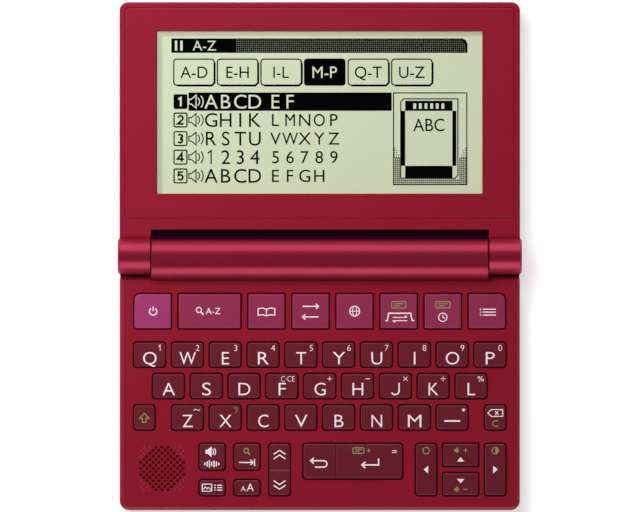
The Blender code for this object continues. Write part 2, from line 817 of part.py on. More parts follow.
def make_dome_sheet(keys, material):
    """Make the rubber sheet with a dome under each key and a corner left out for the speaker."""
    side = BODY_HALF - WALL - 2 * BOARD_CLEARANCE
    front = FRONT_Y + WALL + 2 * BOARD_CLEARANCE
    back = FUNCTION_Y
    notch_x = GRILLE_X + SPEAKER_R + BOARD_CLEARANCE
    notch_y = GRILLE_Y + SPEAKER_R + BOARD_CLEARANCE
    outline = [
        (notch_x, front),
        (side, front),
        (side, back),
        (-side, back),
        (-side, notch_y),
        (notch_x, notch_y),
    ]
    sheet = slab("rubber_dome_sheet", [outline], SHEET_Z, SHEET_TOP, material)
    work = bmesh.new()
    sunk = SHEET_T / 2
    height = DOME_H + sunk
    for x, y in dome_places(keys):
        place = Matrix.Translation((x, y, SHEET_TOP - sunk + height / 2))
        bmesh.ops.create_cone(
            work,
            cap_ends=True,
            segments=HOLE_SIDES,
            radius1=DOME_R,
            radius2=DOME_TOP_R,
            depth=height,
            matrix=place,
        )
    mesh = bpy.data.meshes.new("domes")
    work.to_mesh(mesh)
    work.free()
    join(sheet, finish_mesh("domes", mesh, None, (0, 0, 0), CUTTERS))
    return sheet


def make_speaker(material):
    """Make the round speaker that lies on the board under the grille."""
    low = DECK_UNDER - SEAT_GAP - SPEAKER_T
    place = (GRILLE_X, GRILLE_Y)
    return rod("speaker", SPEAKER_R, low, low + SPEAKER_T, place, material, across=False)


def make_lid_cover(material):
    """Make the lid's back shell with its necks, knuckles and the lip behind the barrel."""
    outline = rounded(
        rectangle(-BODY_HALF, BODY_HALF, SLOT_Y, -FRONT_Y), [0, 0, LID_CORNER_R, LID_CORNER_R]
    )

    def keeps(edge):
        return min(vert.co.y for vert in edge.verts) > SLOT_Y + WELD or abs(
            edge.verts[0].co.y - edge.verts[1].co.y
        ) > OVERRUN

    round_back = round_rim(LID_BACK, LID_EDGE_R, EDGE_STEPS, keeps)
    shell = slab("lid_back_cover", [outline], LID_BACK, COVER_RIM, material, shape=round_back)
    inner = rounded(
        rectangle(LID_WALL - BODY_HALF, BODY_HALF - LID_WALL, SLOT_Y + LID_WALL, -FRONT_Y - LID_WALL),
        [0, 0, LID_CORNER_R - LID_WALL, LID_CORNER_R - LID_WALL],
    )
    cut(shell, slab("lid_cavity", [inner], LID_BACK + LID_WALL, COVER_RIM + OVERRUN))
    into = SLOT_Y + LID_WALL / 2
    lip = rectangle(-KNUCKLE_IN - LID_WALL, KNUCKLE_IN + LID_WALL, LIP_Y, into)
    join(shell, slab("lip", [lip], LID_BACK, LID_BACK + LID_WALL))

    start = math.degrees(math.asin((COVER_RIM - AXIS_Z) / KNUCKLE_R))
    profile = arc((0, AXIS_Z), KNUCKLE_R, start, 270, ROUND_SIDES)
    profile += [(into, LID_BACK), (into, COVER_RIM)]

    def knuckle(side):
        low, high = span(side, KNUCKLE_IN, BODY_HALF)
        return slab("knuckle", [profile], low, high, across=True)

    def end_cap(side):
        low, high = span(side, BODY_HALF - KNUCKLE_DOME, BODY_HALF + KNUCKLE_DOME)

        def dome(work):
            rim = edges_where(work, lambda co: abs(side * co.x - (high - low) / 2) < WELD)
            round_edges(work, rim, KNUCKLE_DOME)

        return rod("end_cap", KNUCKLE_R - SEAT_GAP, low, high, (0, AXIS_Z), shape=dome)

    def bore(side):
        low, high = span(side, KNUCKLE_IN - OVERRUN, BARREL_HALF + SHAFT_REACH + SEAT_GAP)
        return rod("knuckle_bore", BORE_R, low, high, (0, AXIS_Z), sides=BOSS_SIDES)

    join(shell, *both_sides(knuckle))
    join(shell, *both_sides(end_cap))
    cut(shell, *both_sides(bore))
    return shell


def window_rect(grow=0):
    """Return the display window's corners, grown outward."""
    half_w = WINDOW_W / 2 + grow
    half_h = WINDOW_H / 2 + grow
    return rectangle(-half_w, half_w, WINDOW_Y - half_h, WINDOW_Y + half_h)


def make_bezel(material):
    """Make the lid's front frame with its flared window and the groove round its panel."""
    corners = [
        (-BODY_HALF, BEZEL_NECK_Y),
        (-KNUCKLE_IN, BEZEL_NECK_Y),
        (-KNUCKLE_IN, SLOT_Y),
        (KNUCKLE_IN, SLOT_Y),
        (KNUCKLE_IN, BEZEL_NECK_Y),
        (BODY_HALF, BEZEL_NECK_Y),
        (BODY_HALF, -FRONT_Y),
        (-BODY_HALF, -FRONT_Y),
    ]
    outline = rounded(corners, [0] * 6 + [LID_CORNER_R] * 2)

    def outside(edge):
        middle = (edge.verts[0].co + edge.verts[1].co) / 2
        return abs(middle.x) > BODY_HALF - LID_CORNER_R or middle.y > -FRONT_Y - LID_CORNER_R

    def keeps(edge):
        return outside(edge) and edge.verts[0].co.y + edge.verts[1].co.y > 2 * (BEZEL_NECK_Y + WELD)

    round_face = round_rim(LID_FACE, LID_EDGE_R / 2, EDGE_STEPS, keeps)
    bezel = slab("lid_bezel", [outline], BEZEL_Z, LID_FACE, material, shape=round_face)

    def flare(work):
        top = [vert for vert in work.verts if vert.co.z > LID_FACE - WELD]
        middle = Vector((0, WINDOW_Y, 0))
        for vert in top:
            away = vert.co - middle
            vert.co.x += math.copysign(WINDOW_FLARE, away.x)
            vert.co.y += math.copysign(WINDOW_FLARE, away.y)

    cut(bezel, slab("window", [window_rect()], BEZEL_Z - OVERRUN, LID_FACE + OVERRUN))
    flare_low = LID_FACE - WINDOW_FLARE
    cut(bezel, slab("window_flare", [window_rect()], flare_low, LID_FACE + SEAT_GAP, shape=flare))
    side = BODY_HALF - GROOVE_INSET
    near = SLOT_Y + 2 * GROOVE_INSET + GROOVE_W
    groove = []
    for grow in (0, -GROOVE_W):
        edge = rectangle(-side - grow, side + grow, near - grow, -FRONT_Y - GROOVE_INSET + grow)
        groove.append(rounded(edge, [LID_CORNER_R - GROOVE_W + grow] * 4))
    cut(bezel, slab("panel_groove", groove, LID_FACE - GROOVE_DEPTH, LID_FACE + OVERRUN))
    return bezel


def make_panel(material):
    """Make the display module, whose upper glass stands in the bezel's window."""
    low = COVER_RIM - PANEL_T
    half_w, half_h = PANEL_W / 2, PANEL_H / 2
    corners = rectangle(-half_w, half_w, WINDOW_Y - half_h, WINDOW_Y + half_h)
    panel = slab("lcd_panel", [corners], low, COVER_RIM, material)
    glass_top = LID_FACE - GLASS_RECESS
    glass = slab("glass", [window_rect(-SEAT_GAP)], low + PANEL_T / 2, glass_top)
    join(panel, glass)
    return panel


def make_shaft(side, material):
    """Make one hinge shaft, fixed in the barrel's end and turning in the knuckle."""
    low, high = span(side, BARREL_HALF - SHAFT_HOLD, BARREL_HALF + SHAFT_REACH)
    name = "hinge_shaft_left" if side < 0 else "hinge_shaft_right"
    return rod(name, SHAFT_R, low, high, (0, AXIS_Z), material, sides=BOSS_SIDES)


def hinge_parent(children):
    """Parent the lid's pieces to an empty on the hinge axis, each kept in its place."""
    pivot = bpy.data.objects.new("lid_hinge_axis", None)
    pivot.location = (0, 0, AXIS_Z)
    PARTS.objects.link(pivot)
    for child in children:
        child.parent = pivot
        child.matrix_parent_inverse = Matrix.Translation((0, 0, -AXIS_Z))


def main():
    """Build the dictionary, open flat."""
    red = new_material("red_plastic", RED, 0.35)
    maroon = new_material("key_maroon", MAROON, 0.5)
    looks = {
        "maroon": maroon,
        "plum": new_material("key_plum", PLUM, 0.45),
        "magenta": new_material("key_magenta", MAGENTA, 0.45),
    }
    black = new_material("black_plastic", BLACK, 0.6)
    steel = new_material("steel", STEEL, 0.3, 1.0)
    keys = function_keys() + letter_keys() + cluster_keys()
    make_lower_case(red)
    make_upper_case(keys, red)
    make_battery_cover(red)
    make_batteries(steel)
    make_board(new_material("board", GREEN_BOARD, 0.5))
    make_dome_sheet(keys, new_material("dome_rubber", GREY_RUBBER, 0.8))
    make_speaker(black)
    make_keys(keys, looks)
    lid = [make_lid_cover(red), make_bezel(red), make_panel(new_material("lcd", LCD_GREEN, 0.25))]
    both_sides(lambda side: make_shaft(side, steel))
    hinge_parent(lid)


main()
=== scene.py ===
"""Looks of the electronic dictionary: case paint, key caps, legends, display and studio.

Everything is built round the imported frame. Sizes in the classes are in millimetres, +X to the
right of the keyboard, +Y from the hinge over the open lid and +Z up out of the keys.
"""

import logging
import math
from dataclasses import dataclass, replace
from enum import Enum
from typing import Callable, Iterable, Optional, Sequence, Union

import bmesh
import bpy
from mathutils import Matrix, Vector


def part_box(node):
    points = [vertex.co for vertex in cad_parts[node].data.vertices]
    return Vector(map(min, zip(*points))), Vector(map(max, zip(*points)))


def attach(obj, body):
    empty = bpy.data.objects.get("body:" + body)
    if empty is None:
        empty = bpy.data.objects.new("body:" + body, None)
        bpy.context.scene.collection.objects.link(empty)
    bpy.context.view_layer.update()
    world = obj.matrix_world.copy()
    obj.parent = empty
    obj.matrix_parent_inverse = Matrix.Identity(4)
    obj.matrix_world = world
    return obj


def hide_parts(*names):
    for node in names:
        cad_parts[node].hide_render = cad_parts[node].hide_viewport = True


LOG = logging.getLogger("dictionary")
MM = 0.001

# How far a cutter runs past what it cuts, in millimetres
OVERRUN = 0.5
FAR_OVERRUN = 1.0

Point = tuple[float, float]
Colour = tuple[float, float, float]
Number = Union["Value", float]
Socket = Union["Value", bpy.types.NodeSocket]

SIDES = ((-1, "left"), (1, "right"))

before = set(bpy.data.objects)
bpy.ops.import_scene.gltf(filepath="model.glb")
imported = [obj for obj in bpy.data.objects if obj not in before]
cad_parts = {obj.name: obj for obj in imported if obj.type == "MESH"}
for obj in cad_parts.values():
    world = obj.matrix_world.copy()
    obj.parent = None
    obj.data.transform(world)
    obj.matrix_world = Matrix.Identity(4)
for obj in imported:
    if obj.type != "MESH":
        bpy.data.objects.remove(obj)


# Materials


class Value:
    """A number that varies over a surface: one output socket with Python's arithmetic."""

    def __init__(self, graph: "Graph", socket: bpy.types.NodeSocket) -> None:
        """Wrap an output socket of the graph."""
        self.graph = graph
        self.socket = socket

    def __add__(self, other: Number) -> "Value":
        """Return this plus the other."""
        return self.graph.maths("ADD", self, other)

    def __radd__(self, other: float) -> "Value":
        """Return the other plus this."""
        return self.graph.maths("ADD", other, self)

    def __sub__(self, other: Number) -> "Value":
        """Return this less the other."""
        return self.graph.maths("SUBTRACT", self, other)

    def __rsub__(self, other: float) -> "Value":
        """Return the other less this."""
        return self.graph.maths("SUBTRACT", other, self)

    def __mul__(self, other: Number) -> "Value":
        """Return this times the other."""
        return self.graph.maths("MULTIPLY", self, other)

    def __rmul__(self, other: float) -> "Value":
        """Return the other times this."""
        return self.graph.maths("MULTIPLY", other, self)

    def __pow__(self, other: float) -> "Value":
        """Return this to a power."""
        return self.graph.maths("POWER", self, other)

    def above(self, edge: float, soft: float) -> "Value":
        """Return 1 over the edge and 0 under it, with a soft step between.

        Args:
            edge: Where the step lies.
            soft: Half of the step's width.

        Returns:
            The stepped value.
        """
        span = {"Value": self, "From Min": edge - soft, "From Max": edge + soft}
        return self.graph.add("ShaderNodeMapRange", {"interpolation_type": "SMOOTHSTEP"}, span)


class Graph:
    """The node tree of one material or world, which grows by one method."""

    def __init__(self, tree: bpy.types.NodeTree) -> None:
        """Empty a node tree and take it over."""
        self.tree = tree
        tree.nodes.clear()

    def add(
        self,
        kind: str,
        settings: Optional[dict] = None,
        inputs: Optional[dict] = None,
        output: Union[int, str] = 0,
    ) -> Socket:
        """Add a node, make its settings and feed its sockets.

        Args:
            kind: The node's type.
            settings: The node's own properties; "stops" are a colour ramp's (place, colour) pairs.
            inputs: Values or links by socket name or number.
            output: The output that is wanted.

        Returns:
            The output, as a Value where it is a number.
        """
        node = self.tree.nodes.new(kind)
        for name, setting in (settings or {}).items():
            if name == "stops":
                self.set_stops(node.color_ramp, setting)
            else:
                setattr(node, name, setting)
        for name, value in (inputs or {}).items():
            self.feed(node.inputs[name], value)
        if not node.outputs:
            return None
        socket = node.outputs[output]
        return Value(self, socket) if socket.type == "VALUE" else socket

    def set_stops(self, ramp: bpy.types.ColorRamp, stops: Sequence[tuple[float, Colour]]) -> None:
        """Give a colour ramp its stops.

        Args:
            ramp: The ramp to fill.
            stops: Each stop's place and colour, in order.
        """
        while len(ramp.elements) < len(stops):
            ramp.elements.new(0.5)
        for element, (place, colour) in zip(ramp.elements, stops):
            element.position = place
            element.color = (*colour, 1.0)

    def feed(self, socket: bpy.types.NodeSocket, value: Union[Socket, float, Sequence[float]]) -> None:
        """Link a value to a socket, or set the socket where it is a constant.

        Args:
            socket: The input to feed.
            value: A Value, another node's output, a number or a colour.
        """
        if isinstance(value, Value):
            self.tree.links.new(value.socket, socket)
        elif isinstance(value, bpy.types.NodeSocket):
            self.tree.links.new(value, socket)
        elif socket.type == "RGBA" and len(value) == 3:
            socket.default_value = (*value, 1.0)
        else:
            socket.default_value = value

    def maths(self, operation: str, *terms: Number) -> Value:
        """Add one Math node and return its result."""
        return self.add("ShaderNodeMath", {"operation": operation}, dict(enumerate(terms)))

    def mix(self, factor: Number, first: Union[Socket, Colour], second: Union[Socket, Colour]) -> Socket:
        """Return a colour between two others."""
        return self.add("ShaderNodeMix", {"data_type": "RGBA"}, {0: factor, 6: first, 7: second}, 2)

    def place(self, stretch: Sequence[float] = (1, 1, 1)) -> Socket:
        """Return the surface's own coordinates in millimetres, stretched along each axis."""
        own = self.add("ShaderNodeTexCoord", output="Object")
        scale = tuple(share / MM for share in stretch)
        return self.add("ShaderNodeMapping", {}, {"Vector": own, "Scale": scale})

    def noise(self, place: Socket, size: float, detail: float = 2.0) -> Value:
        """Return noise from 0 to 1 whose patches are about the given size in millimetres."""
        inputs = {"Vector": place, "Scale": 1 / size, "Detail": detail}
        return self.add("ShaderNodeTexNoise", {}, inputs, "Fac")

    def cells(self, place: Socket, size: float) -> Value:
        """Return a random number for each cell of about the given size in millimetres."""
        inputs = {"Vector": place, "Scale": 1 / size}
        colour = self.add("ShaderNodeTexVoronoi", {}, inputs, "Color")
        return self.add("ShaderNodeSeparateColor", {}, {0: colour}, 0)

    def axis(self, place: Socket, name: str) -> Value:
        """Return one coordinate of a place: X, Y or Z."""
        return self.add("ShaderNodeSeparateXYZ", {}, {0: place}, name)

    def mark(self, name: str) -> Value:
        """Return the mesh's own attribute of that name, 0 where it has none."""
        return self.add("ShaderNodeAttribute", {"attribute_name": name}, {}, "Fac")

    def bump(self, height: Number, strength: float, distance: float) -> Socket:
        """Return a normal that follows a height; the distance is in millimetres."""
        inputs = {"Strength": strength, "Distance": distance * MM, "Height": height}
        return self.add("ShaderNodeBump", {}, inputs)

    def surface(self, inputs: dict) -> None:
        """Finish a material with one Principled shader fed from the inputs."""
        shader = self.add("ShaderNodeBsdfPrincipled", {}, inputs)
        self.add("ShaderNodeOutputMaterial", {}, {"Surface": shader})


@dataclass(frozen=True)
class Finish:
    """A named surface finish whose material is made when it is first used."""

    name: str

    def material(self) -> bpy.types.Material:
        """Return the finish's material, made once."""
        found = bpy.data.materials.get(self.name)
        if found is None:
            found = bpy.data.materials.new(self.name)
            found.use_nodes = True
            self.paint(Graph(found.node_tree))
        return found

    def paint(self, graph: Graph) -> None:
        """Fill the material's node tree."""
        raise NotImplementedError


@dataclass(frozen=True)
class Plastic(Finish):
    """Moulded or painted plastic with mottling, fine grain and worn edges."""

    colour: Colour = (0.5, 0.5, 0.5)
    metallic: float = 0.0
    roughness: float = 0.45
    specular: float = 0.4
    tint: Colour = (1.0, 1.0, 1.0)
    coat: float = 0.0
    coat_roughness: float = 0.2
    mottle: float = 0.05
    grain_size: float = 0.17
    grain: float = 0.08
    # Share of painted glints: flakes in the paint, drawn as random cells of lighter colour.
    flake_glint: float = 0.0
    wear: float = 0.3
    # The Y span of a painted highlight band, where the part takes a lighter, pinker and more metallic copy
    # of its paint.
    band: Optional[Point] = None
    highlight_band_colour: Colour = (0.5, 0.5, 0.5)
    highlight_band_metallic: float = 0.0
    # Height in millimetres under which the part is painted in shade, or None.
    foot: Optional[float] = None
    painted_shade_colour: Colour = (0.030, 0.0004, 0.0020)

    def shade(self, factor: float) -> Colour:
        """Return the finish's colour times a factor."""
        return tuple(min(1.0, part * factor) for part in self.colour)

    def paint(self, graph: Graph) -> None:
        """Fill the tree: soft mottling, flakes with painted glints, grain in the normal, wear on the edges,
        an optional painted highlight band and optional painted shade under the foot height.
        """
        place = graph.place()
        cloud = graph.noise(place, 14.0, 3.0)
        fine = graph.noise(place, self.grain_size, 2.0)
        scuff = graph.noise(place, 1.1, 5.0)
        worn = graph.mark("edge") * scuff.above(0.52, 0.12) * self.wear
        body = graph.mix(cloud, self.shade(1 - self.mottle), self.shade(1 + self.mottle))
        # Flakes in the paint with painted glints: random cells lighten the colour towards half again as
        # bright.
        if self.flake_glint:
            glint = graph.cells(place, 0.11)
            body = graph.mix(glint * self.flake_glint, body, self.shade(1.5))
        metallic: Number = self.metallic
        drift = graph.noise(place, 5.5, 4.0)
        rough = self.roughness + (drift - 0.5) * 0.09 + (fine - 0.5) * 0.05 + worn * 0.12
        # Painted highlight: over the band the paint is lighter, pinker, more metallic and smoother, which
        # brightens the barrel's highlights.
        if self.band:
            middle, half = (self.band[0] + self.band[1]) / 2, (self.band[1] - self.band[0]) / 2
            reach = graph.maths("ABSOLUTE", graph.axis(place, "Y") - middle)
            inside = 1 - reach.above(half, 0.15)
            body = graph.mix(inside, body, self.highlight_band_colour)
            metallic = self.metallic + inside * (self.highlight_band_metallic - self.metallic)
            rough = rough - inside * 0.05
        lighter = tuple(part * 1.35 + 0.035 for part in self.colour)
        body = graph.mix(worn, body, lighter)
        coat: Number = self.coat
        # Painted shade: under the foot height the part turns dark and loses its coat, so the key caps'
        # skirts read as the shade in the gaps round them.
        if self.foot:
            over = graph.axis(place, "Z").above(self.foot, 0.3)
            body = graph.mix(over, self.painted_shade_colour, body)
            coat = over * self.coat
        graph.surface({
            "Base Color": body,
            "Metallic": metallic,
            "Roughness": rough,
            "Specular IOR Level": self.specular,
            "Specular Tint": self.tint,
            "Coat Weight": coat,
            "Coat Roughness": self.coat_roughness,
            "Normal": graph.bump(fine, self.grain, 0.02),
        })


@dataclass(frozen=True)
class PrintInk(Finish):
    """Pad-printed ink: even colour with a slightly open, dry surface."""

    colour: Colour = (0.8, 0.8, 0.8)
    roughness: float = 0.6

    def paint(self, graph: Graph) -> None:
        """Fill the tree: pinholes in the ink and a dry, uneven sheen."""
        place = graph.place()
        grit = graph.noise(place, 0.12, 3.0)
        worn = graph.noise(place, 2.4, 4.0)
        thin = tuple(part * 0.82 for part in self.colour)
        graph.surface({
            "Base Color": graph.mix(grit * worn, self.colour, thin),
            "Roughness": self.roughness + (grit - 0.5) * 0.12,
            "Specular IOR Level": 0.25,
            "Normal": graph.bump(grit, 0.1, 0.01),
        })


@dataclass(frozen=True)
class DisplayFinish(Finish):
    """The dot matrix under the display's glass, in one of its tones."""

    colour: Colour = (0.6, 0.65, 0.45)
    gap_colour: Colour = (0.6, 0.65, 0.45)
    pitch: float = 0.312
    halftone: Optional[Colour] = None
    dot: float = 0.145
    specular: float = 0.3
    coat: float = 0.25
    # Where the painted shadow of the bezel's recess starts on the glass: X of its left band and Y of its
    # top band, in millimetres.
    shade: Optional[Point] = None
    painted_shadow_factor: float = 0.70

    @staticmethod
    def raster(graph: Graph, pitch: float) -> list[Value]:
        """Return how far a point lies from its square's middle, across and along, in pitches."""
        place = graph.place((1 / pitch,) * 3)
        shares = [graph.maths("FRACT", graph.axis(place, name)) for name in "XY"]
        return [graph.maths("ABSOLUTE", share - 0.5) for share in shares]

    def paint(self, graph: Graph) -> None:
        """Fill the tree: dots in a fine grid, an optional halftone, faint unevenness and an optional
        painted shadow along the left and top edges.
        """
        near_x, near_y = (side.above(0.45, 0.04) for side in self.raster(graph, self.pitch))
        gap = graph.maths("MAXIMUM", near_x, near_y)
        cloud = graph.noise(graph.place(), 26.0, 2.0)
        dim = tuple(part * 0.965 for part in self.colour)
        tone = graph.mix(cloud, self.colour, dim)
        if self.halftone:
            sides = self.raster(graph, 2 * self.pitch)
            near_x, near_y = (1 - side.above(self.dot, 0.03) for side in sides)
            tone = graph.mix(near_x * near_y, tone, self.halftone)
        # Painted shadow: the colour darkens towards the left and top edges of the glass, where the bezel's
        # recess casts its shadow.
        if self.shade:
            plain_place = graph.place()
            left = 1 - graph.axis(plain_place, "X").above(self.shade[0], 0.5)
            top = graph.axis(plain_place, "Y").above(self.shade[1], 0.45)
            shadowed_tone = tuple(part * self.painted_shadow_factor for part in self.colour)
            tone = graph.mix(graph.maths("MAXIMUM", left, top), tone, shadowed_tone)
        graph.surface({
            "Base Color": graph.mix(gap * 0.35, tone, self.gap_colour),
            "Roughness": 0.3 + cloud * 0.08,
            "Specular IOR Level": self.specular,
            "Coat Weight": self.coat,
            "Coat Roughness": 0.06,
        })


@dataclass(frozen=True)
class Steel(Finish):
    """Turned or rolled steel with fine streaks round its axis."""

    colour: Colour = (0.62, 0.62, 0.60)
    streak: Sequence[float] = (0.1, 1.0, 1.0)

    def paint(self, graph: Graph) -> None:
        """Fill the tree: streaks in the sheen and a few dull spots."""
        streaks = graph.noise(graph.place(self.streak), 0.12, 3.0)
        spots = graph.noise(graph.place(), 1.6, 4.0)
        dull = tuple(part * 0.7 for part in self.colour)
        graph.surface({
            "Base Color": graph.mix(spots.above(0.62, 0.1) * 0.5, self.colour, dull),
            "Metallic": 1.0,
            "Roughness": 0.24 + streaks * 0.16 + spots * 0.08,
            "Normal": graph.bump(streaks, 0.12, 0.02),
        })


@dataclass(frozen=True)
class CellWrap(Finish):
    """The printed wrap of the two cells, in plain bands along their length."""

    cell_length: float = 44.5

    def paint(self, graph: Graph) -> None:
        """Fill the tree: a dark wrap, a copper band at each tip end and bare metal ends."""
        along = graph.axis(graph.place((1 / self.cell_length, 1, 1)), "X")
        within = graph.maths("FRACT", along + 2.0)
        bands = (
            (0.0, (0.5, 0.5, 0.48)), (0.02, (0.03, 0.03, 0.035)), (0.68, (0.03, 0.03, 0.035)),
            (0.69, (0.45, 0.20, 0.06)), (0.96, (0.45, 0.20, 0.06)), (0.965, (0.5, 0.5, 0.48)),
        )
        wrap = graph.add("ShaderNodeValToRGB", {"stops": bands}, {0: within})
        scuff = graph.noise(graph.place(), 0.9, 4.0)
        graph.surface({
            "Base Color": graph.mix(scuff.above(0.62, 0.05) * 0.25, wrap, (0.4, 0.4, 0.4)),
            "Metallic": 0.6,
            "Roughness": 0.26 + scuff * 0.12,
        })


@dataclass(frozen=True)
class BoardFinish(Finish):
    """Green solder mask over copper tracks."""

    mask: Colour = (0.012, 0.10, 0.035)
    track: Colour = (0.03, 0.19, 0.07)
    gold: Colour = (0.60, 0.42, 0.14)

    def paint(self, graph: Graph) -> None:
        """Fill the tree: tracks on a fine raster with gold contact dots."""
        place = graph.place()
        inputs = {
            "Vector": place, "Scale": 0.9, "Mortar Size": 0.06, "Brick Width": 1.7,
            "Row Height": 0.55, "Color1": self.track, "Color2": self.track, "Mortar": self.mask,
        }
        tracks = graph.add("ShaderNodeTexBrick", {"offset": 0.37}, inputs)
        area = graph.noise(place, 7.0, 1.0).above(0.5, 0.02)
        dots = graph.add("ShaderNodeTexVoronoi", {}, {"Vector": place, "Scale": 0.35}, "Distance")
        copper = graph.mix(area, self.mask, tracks)
        pad = 1 - dots.above(0.16, 0.01)
        graph.surface({
            "Base Color": graph.mix(pad, copper, self.gold),
            "Metallic": pad * 0.9,
            "Roughness": 0.34 + graph.noise(place, 0.5, 3.0) * 0.14,
            "Normal": graph.bump(area + pad, 0.25, 0.03),
        })


# The band on the case paint is a painted highlight over the barrel.
PAINT = Plastic(
    "case_red_paint", (0.300, 0.0062, 0.0240), metallic=0.20, roughness=0.40, specular=0.25,
    tint=(1.0, 0.6, 0.75), coat=0.35, coat_roughness=0.22, mottle=0.03, grain=0.05, flake_glint=0.10,
    wear=0.2, band=(-7.55, 5.70), highlight_band_colour=(0.375, 0.0135, 0.0530), highlight_band_metallic=0.72,
)
# The key caps are painted in shade under 8.6 mm, on their skirts below the deck.
MAROON = Plastic(
    "key_maroon_cap", (0.150, 0.0112, 0.0235), metallic=0.10, roughness=0.42, specular=0.20,
    tint=(1.0, 0.6, 0.7), coat=0.5, coat_roughness=0.18, mottle=0.05, grain_size=0.13, grain=0.08,
    wear=0.20, foot=8.6,
)
PLUM = Plastic(
    "key_plum_cap", (0.302, 0.0275, 0.0860), metallic=0.12, roughness=0.40, specular=0.25,
    tint=(1.0, 0.6, 0.8), coat=0.4, coat_roughness=0.18, mottle=0.05, grain_size=0.13, grain=0.08,
    wear=0.20, foot=8.6,
)
MAGENTA = Plastic(
    "key_magenta_cap", (0.382, 0.0410, 0.1630), metallic=0.12, roughness=0.40, specular=0.25,
    tint=(1.0, 0.6, 0.85), coat=0.4, coat_roughness=0.18, mottle=0.05, grain_size=0.13, grain=0.08,
    wear=0.20, foot=8.6,
)
SLOT_SHADE = Plastic("slot_shade", (0.021, 0.0009, 0.0145), roughness=0.8, specular=0.03,
                     grain=0.1, wear=0.0)
GRILLE_CLOTH = Plastic("grille_cloth_red", (0.20, 0.006, 0.014), roughness=0.8, specular=0.1,
                       grain=0.4, grain_size=0.25, wear=0.0)
SPEAKER_CONE = Plastic("speaker_cone", (0.012, 0.012, 0.013), roughness=0.7, specular=0.2, grain=0.5,
                       grain_size=0.3)
DOME_RUBBER = Plastic("dome_rubber_grey", (0.22, 0.22, 0.215), roughness=0.75, specular=0.25,
                      mottle=0.08, grain=0.15, wear=0.0)
FOOT_RUBBER = Plastic("foot_rubber_black", (0.022, 0.022, 0.023), roughness=0.85, specular=0.2,
                      mottle=0.15, grain=0.35, grain_size=0.25, wear=0.1)
WHITE_INK = PrintInk("legend_white_ink", (1.0, 0.90, 0.93))
GREEN_INK = PrintInk("legend_green_ink", (0.27, 0.33, 0.105))
GLASS_TONE = (0.640, 0.695, 0.482)
DARK_TONE = (0.0008, 0.0008, 0.0006)
# The display's glass carries a painted shadow of the bezel's recess along its left and top edges.
DISPLAY = DisplayFinish("display_glass_dots", GLASS_TONE, (0.66, 0.71, 0.50), shade=(-49.1, 68.7))
DARK_GAP = (0.004, 0.004, 0.003)
DISPLAY_DARK = DisplayFinish("display_dark_dots", DARK_TONE, DARK_GAP, specular=0.02, coat=0.0)
DISPLAY_TONE = DisplayFinish("display_halftone", DARK_TONE, DARK_GAP, halftone=GLASS_TONE,
                             specular=0.02, coat=0.0)
DISPLAY_MESH = DisplayFinish("display_mesh", DARK_TONE, DARK_GAP, halftone=GLASS_TONE, dot=0.33,
                             specular=0.02, coat=0.0)
DISPLAY_FRAME = Plastic("display_frame_black", (0.02, 0.02, 0.02), roughness=0.5, grain=0.1)
STEEL = Steel("steel_turned")
CELL = CellWrap("cell_wrap_bands")
BOARD = BoardFinish("board_solder_mask")


# Forms


@dataclass(frozen=True)
class Plan:
    """A rectangle in plan with a radius at each corner, from the front left one anticlockwise."""

    left: float
    right: float
    front: float
    back: float
    radii: tuple[float, float, float, float] = (0.0, 0.0, 0.0, 0.0)

    @classmethod
    def disc(cls, x: float, y: float, radius: float, flat: float) -> "Plan":
        """Return a round plan about a middle, with the flat that is left between its corners."""
        return cls(x - radius, x + radius, y - radius, y + radius, (radius - flat,) * 4)

    def center(self) -> Point:
        """Return the rectangle's middle."""
        return (self.left + self.right) / 2, (self.front + self.back) / 2

    def on_side(self, side: int) -> "Plan":
        """Return the plan as it is on the right, or mirrored to the left where side is -1."""
        left, right = sorted((side * self.left, side * self.right))
        return replace(self, left=left, right=right)


def lift(work: bmesh.types.BMesh, grown: Sequence[bmesh.types.BMVert], height: float) -> None:
    """Raise the vertices among what an extrusion made."""
    tops = [item for item in grown if isinstance(item, bmesh.types.BMVert)]
    bmesh.ops.translate(work, verts=tops, vec=(0, 0, height))


def lay_across(work: bmesh.types.BMesh) -> None:
    """Turn a body that stands along Z so that it lies along X."""
    turn = Matrix(((0, 0, 1), (1, 0, 0), (0, 1, 0))).to_4x4()
    bmesh.ops.transform(work, matrix=turn, verts=work.verts)


